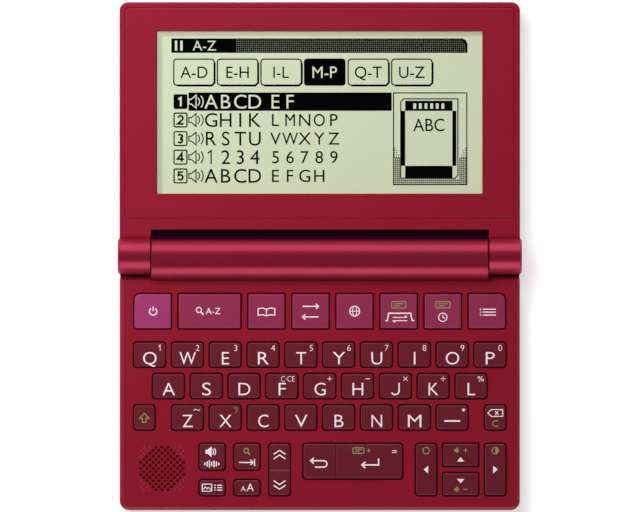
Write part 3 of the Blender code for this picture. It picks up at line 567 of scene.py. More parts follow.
class Form:
    """A closed form under construction, in metres, with worn edges marked in a face layer."""

    SMALLEST_RADIUS = 0.02

    def __init__(self) -> None:
        """Start with an empty mesh."""
        self.work = bmesh.new()
        self.edge_layer = self.work.faces.layers.float.new("edge")

    def ring(self, plan: Plan, height: float, grow: float, steps: int) -> bmesh.types.BMFace:
        """Add one flat face with rounded corners.

        Args:
            plan: The rectangle and its radii.
            height: Its height.
            grow: How far it is grown outward.
            steps: The segments of each rounded corner.

        Returns:
            The face.
        """
        x, y = plan.center()
        size = (plan.right - plan.left + 2 * grow, plan.back - plan.front + 2 * grow, 1)
        flat = bmesh.new()
        bmesh.ops.create_grid(flat, x_segments=1, y_segments=1, size=0.5)
        bmesh.ops.scale(flat, verts=flat.verts, vec=size)
        order = sorted(flat.verts, key=lambda vert: math.atan2(vert.co.y, vert.co.x))
        for corner, radius in zip(order, plan.radii):
            if radius == 0:
                continue
            bmesh.ops.bevel(
                flat, geom=[corner], offset=max(radius + grow, self.SMALLEST_RADIUS),
                offset_type="OFFSET", segments=steps, profile=0.5, affect="VERTICES", material=-1,
            )
        bmesh.ops.translate(flat, verts=flat.verts, vec=(x, y, height))
        bmesh.ops.scale(flat, verts=flat.verts, vec=(MM, MM, MM))
        known = len(self.work.faces)
        self.take(flat)
        self.work.faces.ensure_lookup_table()
        return self.work.faces[known]

    def take(self, other: bmesh.types.BMesh) -> None:
        """Add another bmesh to this one and free it."""
        mesh = bpy.data.meshes.new("taken")
        other.to_mesh(mesh)
        other.free()
        self.work.from_mesh(mesh)
        bpy.data.meshes.remove(mesh)

    def loft(self, plan: Plan, levels: Sequence[tuple[float, float]], steps: int = 6,
             worn: Iterable[int] = ()) -> "Form":
        """Stack rounded rectangles and close them to one body.

        Args:
            plan: The rectangle and its radii.
            levels: The height and growth of each ring, from the bottom up.
            steps: The segments of each rounded corner.
            worn: The numbers of the bands between rings that count as worn edges.

        Returns:
            This form.
        """
        rings = [self.ring(plan, height, grow, steps) for height, grow in levels]
        loops = [list(face.edges) for face in rings]
        for i, (lower, upper) in enumerate(zip(loops, loops[1:])):
            made = bmesh.ops.bridge_loops(self.work, edges=lower + upper)["faces"]
            for face in made:
                face[self.edge_layer] = 1.0 if i in set(worn) else 0.0
        bmesh.ops.delete(self.work, geom=rings[1:-1], context="FACES_ONLY")
        bmesh.ops.recalc_face_normals(self.work, faces=self.work.faces)
        return self

    def prism(self, points: Sequence[Point], low: float, high: float, across: bool = False) -> "Form":
        """Extrude a flat outline to a body.

        Args:
            points: The outline in plan, or in (y, z) for a body that lies across.
            low: Where it starts.
            high: Where it ends.
            across: Whether it runs along X instead of up.

        Returns:
            This form.
        """
        own = bmesh.new()
        own.faces.layers.float.new("edge")
        own.faces.new([own.verts.new((x, y, 0)) for x, y in points])
        grown = bmesh.ops.extrude_face_region(own, geom=own.faces[:])["geom"]
        lift(own, grown, high - low)
        bmesh.ops.translate(own, verts=own.verts, vec=(0, 0, low))
        if across:
            lay_across(own)
        bmesh.ops.scale(own, verts=own.verts, vec=(MM, MM, MM))
        bmesh.ops.recalc_face_normals(own, faces=own.faces)
        self.take(own)
        return self

    def rod(self, radius: float, low: float, high: float, center: Point, sides: int = 32,
            across: bool = False, top_radius: Optional[float] = None) -> "Form":
        """Add a round rod or cone.

        Args:
            radius: Its radius at the low end.
            low: Where it starts.
            high: Where it ends.
            center: Its middle in plan, or in (y, z) where it lies across.
            sides: Its facets.
            across: Whether it runs along X instead of up.
            top_radius: Its radius at the high end, if another.

        Returns:
            This form.
        """
        own = bmesh.new()
        own.faces.layers.float.new("edge")
        far = radius if top_radius is None else top_radius
        bmesh.ops.create_cone(own, cap_ends=True, segments=sides, radius1=radius, radius2=far,
                              depth=high - low)
        bmesh.ops.translate(own, verts=own.verts, vec=(*center, (low + high) / 2))
        if across:
            lay_across(own)
        bmesh.ops.scale(own, verts=own.verts, vec=(MM, MM, MM))
        self.take(own)
        return self

    def soften(self, test: Callable[[bmesh.types.BMEdge], bool], radius: float,
               segments: int = 2) -> "Form":
        """Round the edges that pass a test and mark them as worn.

        Args:
            test: Says which edges are rounded.
            radius: The rounding.
            segments: Its segments.

        Returns:
            This form.
        """
        chosen = [edge for edge in self.work.edges if len(edge.link_faces) == 2 and test(edge)]
        made = bmesh.ops.bevel(
            self.work, geom=chosen, offset=radius * MM, offset_type="OFFSET", segments=segments,
            profile=0.5, affect="EDGES", material=-1,
        )
        strip = radius * MM * math.pi / 2 / segments
        for face in made["faces"]:
            if face.calc_area() < 0.6 * strip * face.calc_perimeter():
                face[self.edge_layer] = 1.0
        return self

    def combine(self, other: "Form", operation: str) -> "Form":
        """Join another form to this one, or cut it away.

        Args:
            other: The other form, which is used up.
            operation: UNION or DIFFERENCE.

        Returns:
            This form.
        """
        target, tool = self.loose_object("target"), other.loose_object("tool")
        change = target.modifiers.new("change", "BOOLEAN")
        change.operation = operation
        change.solver = "EXACT"
        change.object = tool
        mesh = evaluated_mesh(target)
        self.work = bmesh.new()
        self.work.from_mesh(mesh)
        layers = self.work.faces.layers.float
        self.edge_layer = layers.get("edge") or layers.new("edge")
        bpy.data.meshes.remove(mesh)
        for item in (target, tool):
            drop_object(item)
        bmesh.ops.remove_doubles(self.work, verts=self.work.verts, dist=1e-7)
        return self

    def loose_object(self, name: str) -> bpy.types.Object:
        """Turn the form into an object for one operation."""
        mesh = bpy.data.meshes.new(name)
        self.work.to_mesh(mesh)
        self.work.free()
        return link_object(bpy.data.objects.new(name, mesh))

    @classmethod
    def of_node(cls, node: str) -> "Form":
        """Return a form with a CAD node's shape, merged to one skin with plain flat faces.

        Args:
            node: The CAD node's name.

        Returns:
            The form.
        """
        form = cls()
        form.work.from_mesh(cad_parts[node].data)
        bmesh.ops.remove_doubles(form.work, verts=form.work.verts, dist=1e-6)
        bmesh.ops.dissolve_limit(
            form.work, angle_limit=math.radians(0.5), verts=form.work.verts, edges=form.work.edges
        )
        form.edge_layer = form.work.faces.layers.float.get("edge")
        return form


def link_object(item: bpy.types.Object) -> bpy.types.Object:
    """Put an object in the scene and return it."""
    bpy.context.scene.collection.objects.link(item)
    return item


def drop_object(item: bpy.types.Object) -> None:
    """Remove an object and the data it used."""
    data = item.data
    bpy.data.objects.remove(item)
    if isinstance(data, bpy.types.Mesh):
        bpy.data.meshes.remove(data)
    elif isinstance(data, bpy.types.Curve):
        bpy.data.curves.remove(data)


def evaluated_mesh(item: bpy.types.Object) -> bpy.types.Mesh:
    """Return an object's mesh with its modifiers applied."""
    bpy.context.view_layer.update()
    ready = item.evaluated_get(bpy.context.evaluated_depsgraph_get())
    return bpy.data.meshes.new_from_object(ready)


def settle(form: Form, name: str, finish: Finish, body: str,
           stands_for: Optional[str] = None, sharp: float = 32.0) -> bpy.types.Object:
    """Make a finished piece of a form, shade it and let it ride on its body.

    Args:
        form: The form, which is used up.
        name: The piece's name.
        finish: Its surface.
        body: The CAD body it moves with.
        stands_for: The CAD node it replaces, if any.
        sharp: The angle in degrees from which an edge stays sharp.

    Returns:
        The piece.
    """
    mesh = bpy.data.meshes.new(name)
    form.work.to_mesh(mesh)
    form.work.free()
    mesh.polygons.foreach_set("use_smooth", [True] * len(mesh.polygons))
    mesh.set_sharp_from_angle(angle=math.radians(sharp))
    mesh.materials.clear()
    mesh.materials.append(finish.material())
    piece = link_object(bpy.data.objects.new(name, mesh))
    even = piece.modifiers.new("even_shading", "WEIGHTED_NORMAL")
    even.keep_sharp = True
    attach(piece, body)
    if stands_for:
        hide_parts(stands_for)
    LOG.info("%s: %d faces on %s", name, len(mesh.polygons), body)
    return piece


def rim_levels(low: float, high: float, radius: float, steps: int = 4) -> list[tuple[float, float]]:
    """Return the levels of a body whose top rim is rounded inward.

    Args:
        low: The body's bottom.
        high: Its top.
        radius: The rim's rounding.
        steps: The rounding's segments.

    Returns:
        The height and growth of each ring.
    """
    levels = [(low, 0.0)]
    for i in range(steps + 1):
        angle = math.radians(90 * i / steps)
        levels.append((high - radius + radius * math.sin(angle), radius * (math.cos(angle) - 1)))
    return levels


def mouth_levels(low: float, top: float, radius: float, steps: int = 3) -> list[tuple[float, float]]:
    """Return the levels of a cutter that leaves a rounded mouth at a surface.

    Args:
        low: The cutter's bottom.
        top: The surface's height.
        radius: The mouth's rounding.
        steps: The rounding's segments.

    Returns:
        The height and growth of each ring.
    """
    levels = [(height, -grow) for height, grow in rim_levels(low, top, radius, steps)]
    return levels + [(top + OVERRUN, radius)]


def arc(center: Point, radius: float, first: float, last: float, steps: int) -> list[Point]:
    """Return points on an arc, anticlockwise from the first angle to the last, in degrees."""
    turns = (math.radians(first + (last - first) * i / steps) for i in range(steps + 1))
    return [(center[0] + radius * math.cos(turn), center[1] + radius * math.sin(turn)) for turn in turns]


def circle(x: float, y: float, radius: float, steps: int) -> list[Point]:
    """Return points round a circle about a middle, for a closed line or a patch."""
    return arc((x, y), radius, 0, 345, steps)


# Printed marks


class Ink(Enum):
    """The inks of the keys and the tones of the display."""

    WHITE = "white"
    GREEN = "green"
    DARK = "dark"
    TONE = "tone"
    MESH = "mesh"
    PALE = "pale"


@dataclass(frozen=True)
class Text:
    """One line of characters, centred on x, with its baseline at y."""

    body: str
    height: float
    x: float
    y: float
    ink: Ink = Ink.WHITE
    side: float = 0.0
    thin: float = -0.006
    wide: float = 1.0

    CAP_SHARE = 0.684

    def draw(self, sheet: "Sheet") -> None:
        """Add the characters to a sheet.

        Args:
            sheet: The sheet that takes them.
        """
        data = bpy.data.curves.new("characters", "FONT")
        data.body = self.body
        data.offset = self.thin
        data.extrude = 0.5
        data.resolution_u = 4
        item = link_object(bpy.data.objects.new("characters", data))
        mesh = evaluated_mesh(item)
        drop_object(item)
        own = bmesh.new()
        own.from_mesh(mesh)
        bpy.data.meshes.remove(mesh)
        bmesh.ops.remove_doubles(own, verts=own.verts, dist=1e-5)
        size = self.height / self.CAP_SHARE
        wide = [vert.co.x for vert in own.verts]
        middle = (min(wide) + max(wide)) / 2 + self.side * (max(wide) - min(wide)) / 2
        bmesh.ops.translate(own, verts=own.verts, vec=(-middle, 0, 0.5))
        bmesh.ops.scale(own, verts=own.verts, vec=(size * self.wide, size, 1))
        bmesh.ops.translate(own, verts=own.verts, vec=(self.x, self.y, 0))
        sheet.add(own)


@dataclass(frozen=True)
class Line:
    """A stroke of even width along points."""

    points: Sequence[Point]
    width: float = 0.36
    closed: bool = False
    ink: Ink = Ink.WHITE

    def draw(self, sheet: "Sheet") -> None:
        """Add the stroke to a sheet.

        Args:
            sheet: The sheet that takes it.
        """
        own = bmesh.new()
        verts = [own.verts.new((x, y, 0)) for x, y in self.points]
        ends = list(zip(verts, verts[1:])) + ([(verts[-1], verts[0])] if self.closed else [])
        for pair in ends:
            own.edges.new(pair)
        grown = bmesh.ops.extrude_edge_only(own, edges=own.edges[:])["geom"]
        lift(own, grown, 1)
        mesh = bpy.data.meshes.new("stroke")
        own.to_mesh(mesh)
        own.free()
        item = link_object(bpy.data.objects.new("stroke", mesh))
        wall = item.modifiers.new("width", "SOLIDIFY")
        wall.thickness = self.width
        wall.offset = 0
        wall.use_even_offset = True
        ready = evaluated_mesh(item)
        drop_object(item)
        solid = bmesh.new()
        solid.from_mesh(ready)
        bpy.data.meshes.remove(ready)
        sheet.add(solid)


@dataclass(frozen=True)
class Patch:
    """A filled outline."""

    points: Sequence[Point]
    ink: Ink = Ink.WHITE

    def draw(self, sheet: "Sheet") -> None:
        """Add the filled outline to a sheet.

        Args:
            sheet: The sheet that takes it.
        """
        own = bmesh.new()
        own.faces.new([own.verts.new((x, y, 0)) for x, y in self.points])
        grown = bmesh.ops.extrude_face_region(own, geom=own.faces[:])["geom"]
        lift(own, grown, 1)
        bmesh.ops.recalc_face_normals(own, faces=own.faces)
        sheet.add(own)


Mark = Union[Text, Line, Patch]


class Sheet:
    """Thin marks in one ink on a level surface, gathered to one piece."""

    THICKNESS = 0.02
    STEP = 0.004

    def __init__(self, level: float, origin: Point, below: bool = False) -> None:
        """Start an empty sheet.

        Args:
            level: The surface's height.
            origin: Where the marks' own origin lies.
            below: Whether the surface faces down.
        """
        self.form = Form()
        self.level = level
        self.origin = origin
        self.below = below
        self.count = 0

    def add(self, own: bmesh.types.BMesh) -> None:
        """Take a mark one unit high, flatten it and lay it on the surface.

        Args:
            own: The mark, which is used up.
        """
        thick = self.THICKNESS + self.STEP * (self.count % 12)
        self.count += 1
        bmesh.ops.scale(own, verts=own.verts, vec=(1, 1, -thick if self.below else thick))
        if self.below:
            bmesh.ops.reverse_faces(own, faces=own.faces)
        bmesh.ops.translate(own, verts=own.verts, vec=(*self.origin, self.level))
        bmesh.ops.scale(own, verts=own.verts, vec=(MM, MM, MM))
        self.form.take(own)


INK_FINISH = {
    Ink.WHITE: (WHITE_INK, "legend_white"),
    Ink.GREEN: (GREEN_INK, "legend_green"),
    Ink.DARK: (DISPLAY_DARK, "display_ink"),
    Ink.TONE: (DISPLAY_TONE, "display_ink"),
    Ink.MESH: (DISPLAY_MESH, "display_ink"),
    Ink.PALE: (DISPLAY, "lcd"),
}


def print_marks(name: str, marks: Sequence[Mark], level: float, origin: Point, body: str) -> None:
    """Print marks on a surface, one piece for each ink.

    Args:
        name: The start of the pieces' names.
        marks: The marks.
        level: The surface's height.
        origin: The marks' origin in plan.
        body: The body that carries them.
    """
    for rank, ink in enumerate(Ink):
        chosen = [mark for mark in marks if mark.ink is ink]
        if not chosen:
            continue
        raised = Sheet.THICKNESS * 3.5 if ink is Ink.PALE else 0.0
        sheet = Sheet(level + raised, origin)
        for mark in chosen:
            mark.draw(sheet)
        finish, slot = INK_FINISH[ink]
        settle(sheet.form, f"{name}_{ink.value}", finish, body)


def moved(points: Iterable[Point], x: float, y: float, scale: float = 1.0) -> list[Point]:
    """Return points scaled about their origin and moved."""
    return [(x + scale * px, y + scale * py) for px, py in points]


def box(x: float, y: float, width: float, height: float) -> list[Point]:
    """Return the corners of a rectangle about its middle."""
    w, h = width / 2, height / 2
    return [(x - w, y - h), (x + w, y - h), (x + w, y + h), (x - w, y + h)]


def round_box(x: float, y: float, width: float, height: float, radius: float) -> list[Point]:
    """Return the outline of a rounded rectangle about its middle."""
    w, h = width / 2 - radius, height / 2 - radius
    corners = (((w, -h), -90), ((w, h), 0), ((-w, h), 90), ((-w, -h), 180))
    points: list[Point] = []
    for (cx, cy), first in corners:
        points += arc((x + cx, y + cy), radius, first, first + 90, 3)
    return points


class Icon:
    """Plain pictograms for the keys, each drawn about a middle."""

    @staticmethod
    def power(x: float, y: float) -> list[Mark]:
        """Return an open ring with a bar."""
        ring = arc((x, y - 0.1), 1.15, 125, 415, 18)
        return [Line(ring, 0.36), Line([(x, y + 0.05), (x, y + 1.45)], 0.36)]

    @staticmethod
    def magnifier(x: float, y: float, size: float, ink: Ink = Ink.WHITE) -> list[Mark]:
        """Return a lens with a handle."""
        ring = circle(x - 0.12 * size, y + 0.14 * size, 0.3 * size, 15)
        handle = [(x + 0.1 * size, y - 0.08 * size), (x + 0.42 * size, y - 0.42 * size)]
        return [Line(ring, 0.3, True, ink), Line(handle, 0.42, False, ink)]

    @staticmethod
    def book(x: float, y: float, width: float, height: float) -> list[Mark]:
        """Return an open book."""
        w, h = width / 2, height / 2
        left = [(x, y - h), (x - w * 0.5, y - h * 0.72), (x - w, y - h * 0.85), (x - w, y + h * 0.8),
                (x - w * 0.5, y + h * 0.95), (x, y + h * 0.65)]
        right = [(2 * x - px, py) for px, py in left]
        spine = [(x, y - h), (x, y + h * 0.65)]
        return [Line(left, 0.32), Line(right, 0.32), Line(spine, 0.32)]

    @staticmethod
    def arrow(x: float, y: float, length: float, turn: int = 1) -> list[Mark]:
        """Return an arrow to the right, or to the left where turn is -1."""
        half = turn * length / 2
        head = [(x + half - turn * 0.85, y + 0.8), (x + half, y), (x + half - turn * 0.85, y - 0.8)]
        return [Line([(x - half, y), (x + half - turn * 0.1, y)], 0.36), Line(head, 0.36)]

    @staticmethod
    def globe(x: float, y: float, radius: float) -> list[Mark]:
        """Return a globe with its meridians and equator."""
        oval = [(x + 0.42 * (px - x), py) for px, py in circle(x, y, radius, 20)]
        return [
            Line(circle(x, y, radius, 23), 0.3, True),
            Line(oval, 0.24, True),
            Line([(x - radius, y), (x + radius, y)], 0.24),
        ]

    @staticmethod
    def card(x: float, y: float, width: float, height: float, ink: Ink) -> list[Mark]:
        """Return a card with two lines on it."""
        w, h = width / 2 - 0.7, height / 6
        return [
            Line(round_box(x, y, width, height, 0.3), 0.28, True, ink),
            Line([(x - w, y + h), (x + w, y + h)], 0.26, False, ink),
            Line([(x - w, y - h), (x + w * 0.3, y - h)], 0.26, False, ink),
        ]

    @staticmethod
    def clock(x: float, y: float, radius: float) -> list[Mark]:
        """Return a clock face with two hands."""
        hands = [(x, y + radius * 0.62), (x, y), (x + radius * 0.5, y - radius * 0.2)]
        return [Line(circle(x, y, radius, 20), 0.3, True), Line(hands, 0.28)]

    @staticmethod
    def lines(x: float, y: float, width: float, pitch: float) -> list[Mark]:
        """Return three listed lines with their bullets."""
        marks: list[Mark] = []
        for i in (-1, 0, 1):
            row = y + i * pitch
            marks.append(Patch(box(x - width / 2 + 0.2, row, 0.4, 0.4)))
            marks.append(Line([(x - width / 2 + 0.9, row), (x + width / 2, row)], 0.34))
        return marks

    @staticmethod
    def up_outline(x: float, y: float, size: float, ink: Ink) -> list[Mark]:
        """Return a hollow upward arrow."""
        shape = [(-0.22, -0.5), (0.22, -0.5), (0.22, -0.02), (0.55, -0.02), (0, 0.55), (-0.55, -0.02),
                 (-0.22, -0.02)]
        return [Line(moved(shape, x, y, size), 0.3, True, ink)]

    @staticmethod
    def backspace(x: float, y: float, width: float, height: float) -> list[Mark]:
        """Return a tag that points left with a cross in it."""
        w, h = width / 2, height / 2
        shape = [(x - w, y), (x - w + h, y + h), (x + w, y + h), (x + w, y - h), (x - w + h, y - h)]
        c, r = x + 0.45, 0.48
        return [
            Line(shape, 0.3, True),
            Line([(c - r, y - r), (c + r, y + r)], 0.3),
            Line([(c - r, y + r), (c + r, y - r)], 0.3),
        ]

    @staticmethod
    def speaker(x: float, y: float, size: float, waves: int = 2, ink: Ink = Ink.WHITE,
                hollow: bool = False) -> list[Mark]:
        """Return a speaker with sound waves."""
        shape = [(-0.52, -0.17), (-0.35, -0.17), (0.0, -0.46), (0.0, 0.46), (-0.35, 0.17), (-0.52, 0.17)]
        points = moved(shape, x, y, size)
        stroke = 0.34 if hollow else 0.07 * size + 0.04
        marks: list[Mark] = [Line(points, stroke, True, ink) if hollow else Patch(points, ink)]
        for i in range(waves):
            radius = (0.17, 0.26)[hollow] * size * (1 + i)
            curve = arc((x - 0.08 * size, y), radius + 0.08 * size, -56 + 12 * i, 56 - 12 * i, 6)
            marks.append(Line(curve, stroke, False, ink))
        return marks

    @staticmethod
    def bars(x: float, y: float, heights: Sequence[float], pitch: float) -> list[Mark]:
        """Return upright bars of the given heights."""
        first = x - pitch * (len(heights) - 1) / 2
        return [Patch(box(first + i * pitch, y, 0.38, height)) for i, height in enumerate(heights)]

    @staticmethod
    def triangle(x: float, y: float, width: float, height: float, turn: float) -> list[Mark]:
        """Return a filled triangle that points along the turn, in degrees from +X."""
        shape = [(-width / 2, -height / 2), (width / 2, 0), (-width / 2, height / 2)]
        angle = math.radians(turn)
        c, s = math.cos(angle), math.sin(angle)
        return [Patch([(x + c * px - s * py, y + s * px + c * py) for px, py in shape])]

    @staticmethod
    def chevrons(x: float, y: float, turn: int) -> list[Mark]:
        """Return two chevrons that point up, or down where turn is -1."""
        w, h = 1.85, turn * 0.62
        bases = (y - 0.72, y + 0.72)
        return [Line([(x - w, base - h), (x, base + h), (x + w, base - h)], 0.37) for base in bases]

    @staticmethod
    def picture(x: float, y: float, width: float, height: float) -> list[Mark]:
        """Return a framed picture of hills."""
        w, h = width / 2, height / 2
        hills = [(x - w + 0.2, y - h * 0.55), (x - w * 0.35, y + h * 0.25), (x, y - h * 0.3),
                 (x + w * 0.35, y + h * 0.05), (x + w - 0.2, y - h * 0.55)]
        return [Line(box(x, y, width, height), 0.28, True), Line(hills, 0.26)]

    @staticmethod
    def back_arrow(x: float, y: float) -> list[Mark]:
        """Return an arrow that turns back to the left."""
        path = [(x - 2.4, y + 0.55)] + arc((x + 1.6, y - 0.45), 1.0, 90, -90, 8) + [(x - 1.2, y - 1.45)]
        head = [(x - 1.5, y + 1.45), (x - 2.5, y + 0.55), (x - 1.5, y - 0.35)]
        return [Line(path, 0.42), Line(head, 0.42)]

    @staticmethod
    def enter_arrow(x: float, y: float) -> list[Mark]:
        """Return an arrow that goes down and to the left."""
        path = [(x + 2.6, y + 1.6), (x + 2.6, y - 0.4), (x - 2.5, y - 0.4)]
        head = [(x - 1.5, y + 0.6), (x - 2.6, y - 0.4), (x - 1.5, y - 1.4)]
        return [Line(path, 0.44), Line(head, 0.44)]

    @staticmethod
    def contrast(x: float, y: float, radius: float, filled: bool, ink: Ink) -> list[Mark]:
        """Return a ring, bare or with its right half filled."""
        marks: list[Mark] = [Line(circle(x, y, radius, 20), 0.28, True, ink)]
        if filled:
            marks.append(Patch(arc((x, y), radius, -90, 90, 10), ink))
        return marks

    @staticmethod
    def swap(x: float, y: float) -> list[Mark]:
        """Return two arrows, one each way."""
        upper = Icon.arrow(x, y + 0.5, 4.6)
        lower = Icon.arrow(x, y - 0.5, 4.6, -1)
        return [replace(mark, width=0.26) for mark in upper[:1] + lower[:1]] + [
            Line([(x + 1.5, y + 1.1), (x + 2.3, y + 0.5)], 0.26),
            Line([(x - 1.5, y - 1.1), (x - 2.3, y - 0.5)], 0.26),
        ]

    @staticmethod
    def one(x: float, y: float, height: float, width: float, ink: Ink = Ink.WHITE) -> list[Mark]:
        """Return the numeral one, with its baseline at y."""
        top = y + height - width * 0.3
        return [Line([(x - 0.26 * height, top - 0.2 * height), (x, top), (x, y)], width, False, ink)]

    @staticmethod
    def percent(x: float, y: float, size: float) -> list[Mark]:
        """Return a percent sign about its middle."""
        half, small = size / 2, size * 0.2
        return [
            Line([(x - 0.6 * half, y - half), (x + 0.6 * half, y + half)], 0.18),
            Line(arc((x - 0.72 * half, y + 0.48 * half), small, 0, 300, 5), 0.18, True),
            Line(arc((x + 0.72 * half, y - 0.48 * half), small, 0, 300, 5), 0.18, True),
        ]

    @staticmethod
    def question(x: float, y: float, size: float, ink: Ink) -> list[Mark]:
        """Return a question mark about its middle."""
        hook = arc((x, y + 0.22 * size), 0.26 * size, 160, -50, 7) + [(x, y - 0.2 * size)]
        return [Line(hook, 0.22, False, ink), Patch(box(x, y - 0.46 * size, 0.26, 0.26), ink)]

    @staticmethod
    def sign(x: float, y: float, size: float, plus: bool, ink: Ink, width: float = 0.24) -> list[Mark]:
        """Return a plus or a minus sign."""
        marks: list[Mark] = [Line([(x - size / 2, y), (x + size / 2, y)], width, False, ink)]
        if plus:
            marks.append(Line([(x, y - size / 2), (x, y + size / 2)], width, False, ink))
        return marks


def legends() -> dict[str, list[Mark]]:
    """Return the marks on every key, about the middle of its cap.

    Returns:
        The marks by key node.
    """
    marks: dict[str, list[Mark]] = {}
    baselines = {-3.08: "qwertyuiop", -2.9: "asdfghjkl", -3.05: "zxcvbnm"}
    widths = {
        "a": 1.04, "b": 1.07, "c": 0.93, "d": 1.05, "e": 1.03, "f": 1.12, "g": 1.0, "h": 1.03, "k": 0.97,
        "l": 1.07, "m": 1.18, "n": 0.93, "o": 1.02, "p": 1.17, "q": 1.02, "r": 1.15, "s": 1.28, "t": 0.97,
        "u": 1.03, "v": 1.15, "w": 0.87, "x": 0.98, "y": 1.15, "z": 0.95,
    }
    for baseline, row in baselines.items():
        for letter in row:
            width = widths.get(letter, 1.0)
            text = Text(letter.upper(), 3.92, 0.1, baseline, thin=-0.006, wide=width)
            marks["key_" + letter] = [text]
    marks["key_j"] = [Line([(1.15, 1.0)] + arc((-0.1, -1.44), 1.25, 0, -150, 12), 0.44)]
    for letter, digit in zip("wertyuiop", "234567890"):
        marks["key_" + letter].append(Text(digit, 1.88, 3.75, 1.15, side=1.0, thin=-0.010))
    marks["key_q"] += Icon.one(3.3, 1.15, 1.88, 0.22)
    marks["key_f"].append(Text("C·CE", 1.75, 3.95, 1.35, side=1.0, thin=-0.012, wide=0.8))
    marks["key_g"] += Icon.sign(3.1, 2.25, 1.4, True, Ink.WHITE, 0.2)
    marks["key_h"] += Icon.sign(3.1, 2.25, 1.4, False, Ink.WHITE, 0.2)
    marks["key_j"] += [
        Line([(2.5, 1.65), (3.75, 2.9)], 0.2), Line([(2.5, 2.9), (3.75, 1.65)], 0.2),
    ]
    marks["key_k"] += Icon.sign(3.1, 2.25, 1.5, False, Ink.WHITE, 0.2) + [
        Patch(box(3.1, 2.8, 0.28, 0.28)), Patch(box(3.1, 1.7, 0.28, 0.28)),
    ]
    marks["key_l"] += Icon.percent(3.0, 2.25, 1.65)
    wave = [(1.95, 2.15), (2.45, 2.55), (2.95, 2.4), (3.45, 2.15), (3.95, 2.5)]
    marks["key_z"].append(Line(wave, 0.2))
    marks["key_x"] += Icon.question(3.3, 2.25, 1.75, Ink.GREEN)
    marks["key_dash"] = [
        Patch(box(0, -1.1, 4.95, 0.5)), Patch(circle(3.55, 2.35, 0.45, 15)),
    ]
    marks["key_power"] = Icon.power(0.17, 0.0)
    marks["key_menu"] = Icon.magnifier(-3.0, 0.0, 2.7) + [Text("A-Z", 1.95, 1.1, -0.95, thin=0.0)]
    marks["key_function_1"] = Icon.book(0.0, -0.2, 5.2, 2.5)
    marks["key_function_2"] = Icon.arrow(0, 1.5, 5.0) + Icon.arrow(0, -1.8, 5.0, -1)
    marks["key_function_3"] = Icon.globe(0.0, 0.0, 1.55)
    marks["key_function_4"] = Icon.card(0, 2.0, 4.4, 2.0, Ink.GREEN) + Icon.swap(0.4, -2.45) + [
        Line([(-4.1, -3.0), (-3.55, -2.9), (-3.15, -0.65), (3.7, -0.65), (4.2, -2.9), (4.85, -3.0)], 0.4),
    ]
    marks["key_function_5"] = Icon.card(0, 2.0, 4.4, 2.0, Ink.GREEN) + Icon.clock(0, -1.9, 1.3)
    marks["key_function_6"] = Icon.lines(0.3, -0.3, 5.0, 0.9)
    marks["key_shift"] = Icon.up_outline(0, -0.2, 2.6, Ink.GREEN)
    marks["key_delete"] = Icon.backspace(0, 1.4, 4.6, 2.1) + [
        Text("C", 2.0, 0, -2.9, Ink.GREEN, thin=0.0),
    ]
    marks["key_voice"] = Icon.speaker(-0.15, 1.55, 3.7) + Icon.bars(
        -0.1, -2.25, (0.8, 1.6, 2.3, 1.3, 2.1, 1.5, 0.8), 0.72
    )
    marks["key_jump"] = Icon.magnifier(0, 1.55, 2.4, Ink.GREEN) + Icon.arrow(-0.3, -1.8, 4.4) + [
        Line([(2.35, -2.9), (2.35, -0.7)], 0.36),
    ]
    marks["key_page_rocker"] = Icon.chevrons(0, 4.65, 1) + Icon.chevrons(0, -4.8, -1)
    marks["key_figure"] = Icon.picture(-1.6, 0, 2.9, 2.2) + Icon.lines(1.9, 0, 2.5, 0.75)
    marks["key_font_size"] = [
        Text("A", 1.5, -1.2, -1.05, thin=0.0), Text("A", 2.3, 1.0, -1.05, thin=0.0),
    ]
    marks["key_back"] = Icon.back_arrow(-0.1, -0.4)
    marks["key_enter"] = Icon.enter_arrow(0.3, -0.75) + Icon.card(-3.4, 3.3, 3.4, 1.75, Ink.GREEN) + [
        Line([(7.1, 3.3), (8.6, 3.3)], 0.24),
        Line([(7.1, 2.7), (8.6, 2.7)], 0.24),
    ] + Icon.sign(-0.2, 3.3, 1.3, True, Ink.GREEN)
    marks["key_left"] = Icon.contrast(0, 5.9, 1.0, False, Ink.GREEN)
    marks["key_left"] += Icon.triangle(-0.05, 0, 1.43, 2.45, 180)
    marks["key_right"] = Icon.contrast(0, 5.9, 1.0, True, Ink.GREEN)
    marks["key_right"] += Icon.triangle(0.05, 0, 1.43, 2.45, 0)
    marks["key_up"] = Icon.speaker(-0.9, 1.4, 2.1, 1, Ink.GREEN) + Icon.triangle(0, -1.4, 1.36, 2.3, 90)
    marks["key_up"] += Icon.sign(1.5, 1.4, 1.3, True, Ink.GREEN)
    marks["key_down"] = Icon.speaker(-0.9, -1.6, 2.1, 1, Ink.GREEN)
    marks["key_down"] += Icon.triangle(0, 0.96, 1.36, 2.3, -90)
    marks["key_down"] += Icon.sign(1.5, -1.6, 1.3, False, Ink.GREEN)
    return marks


# Keyboard


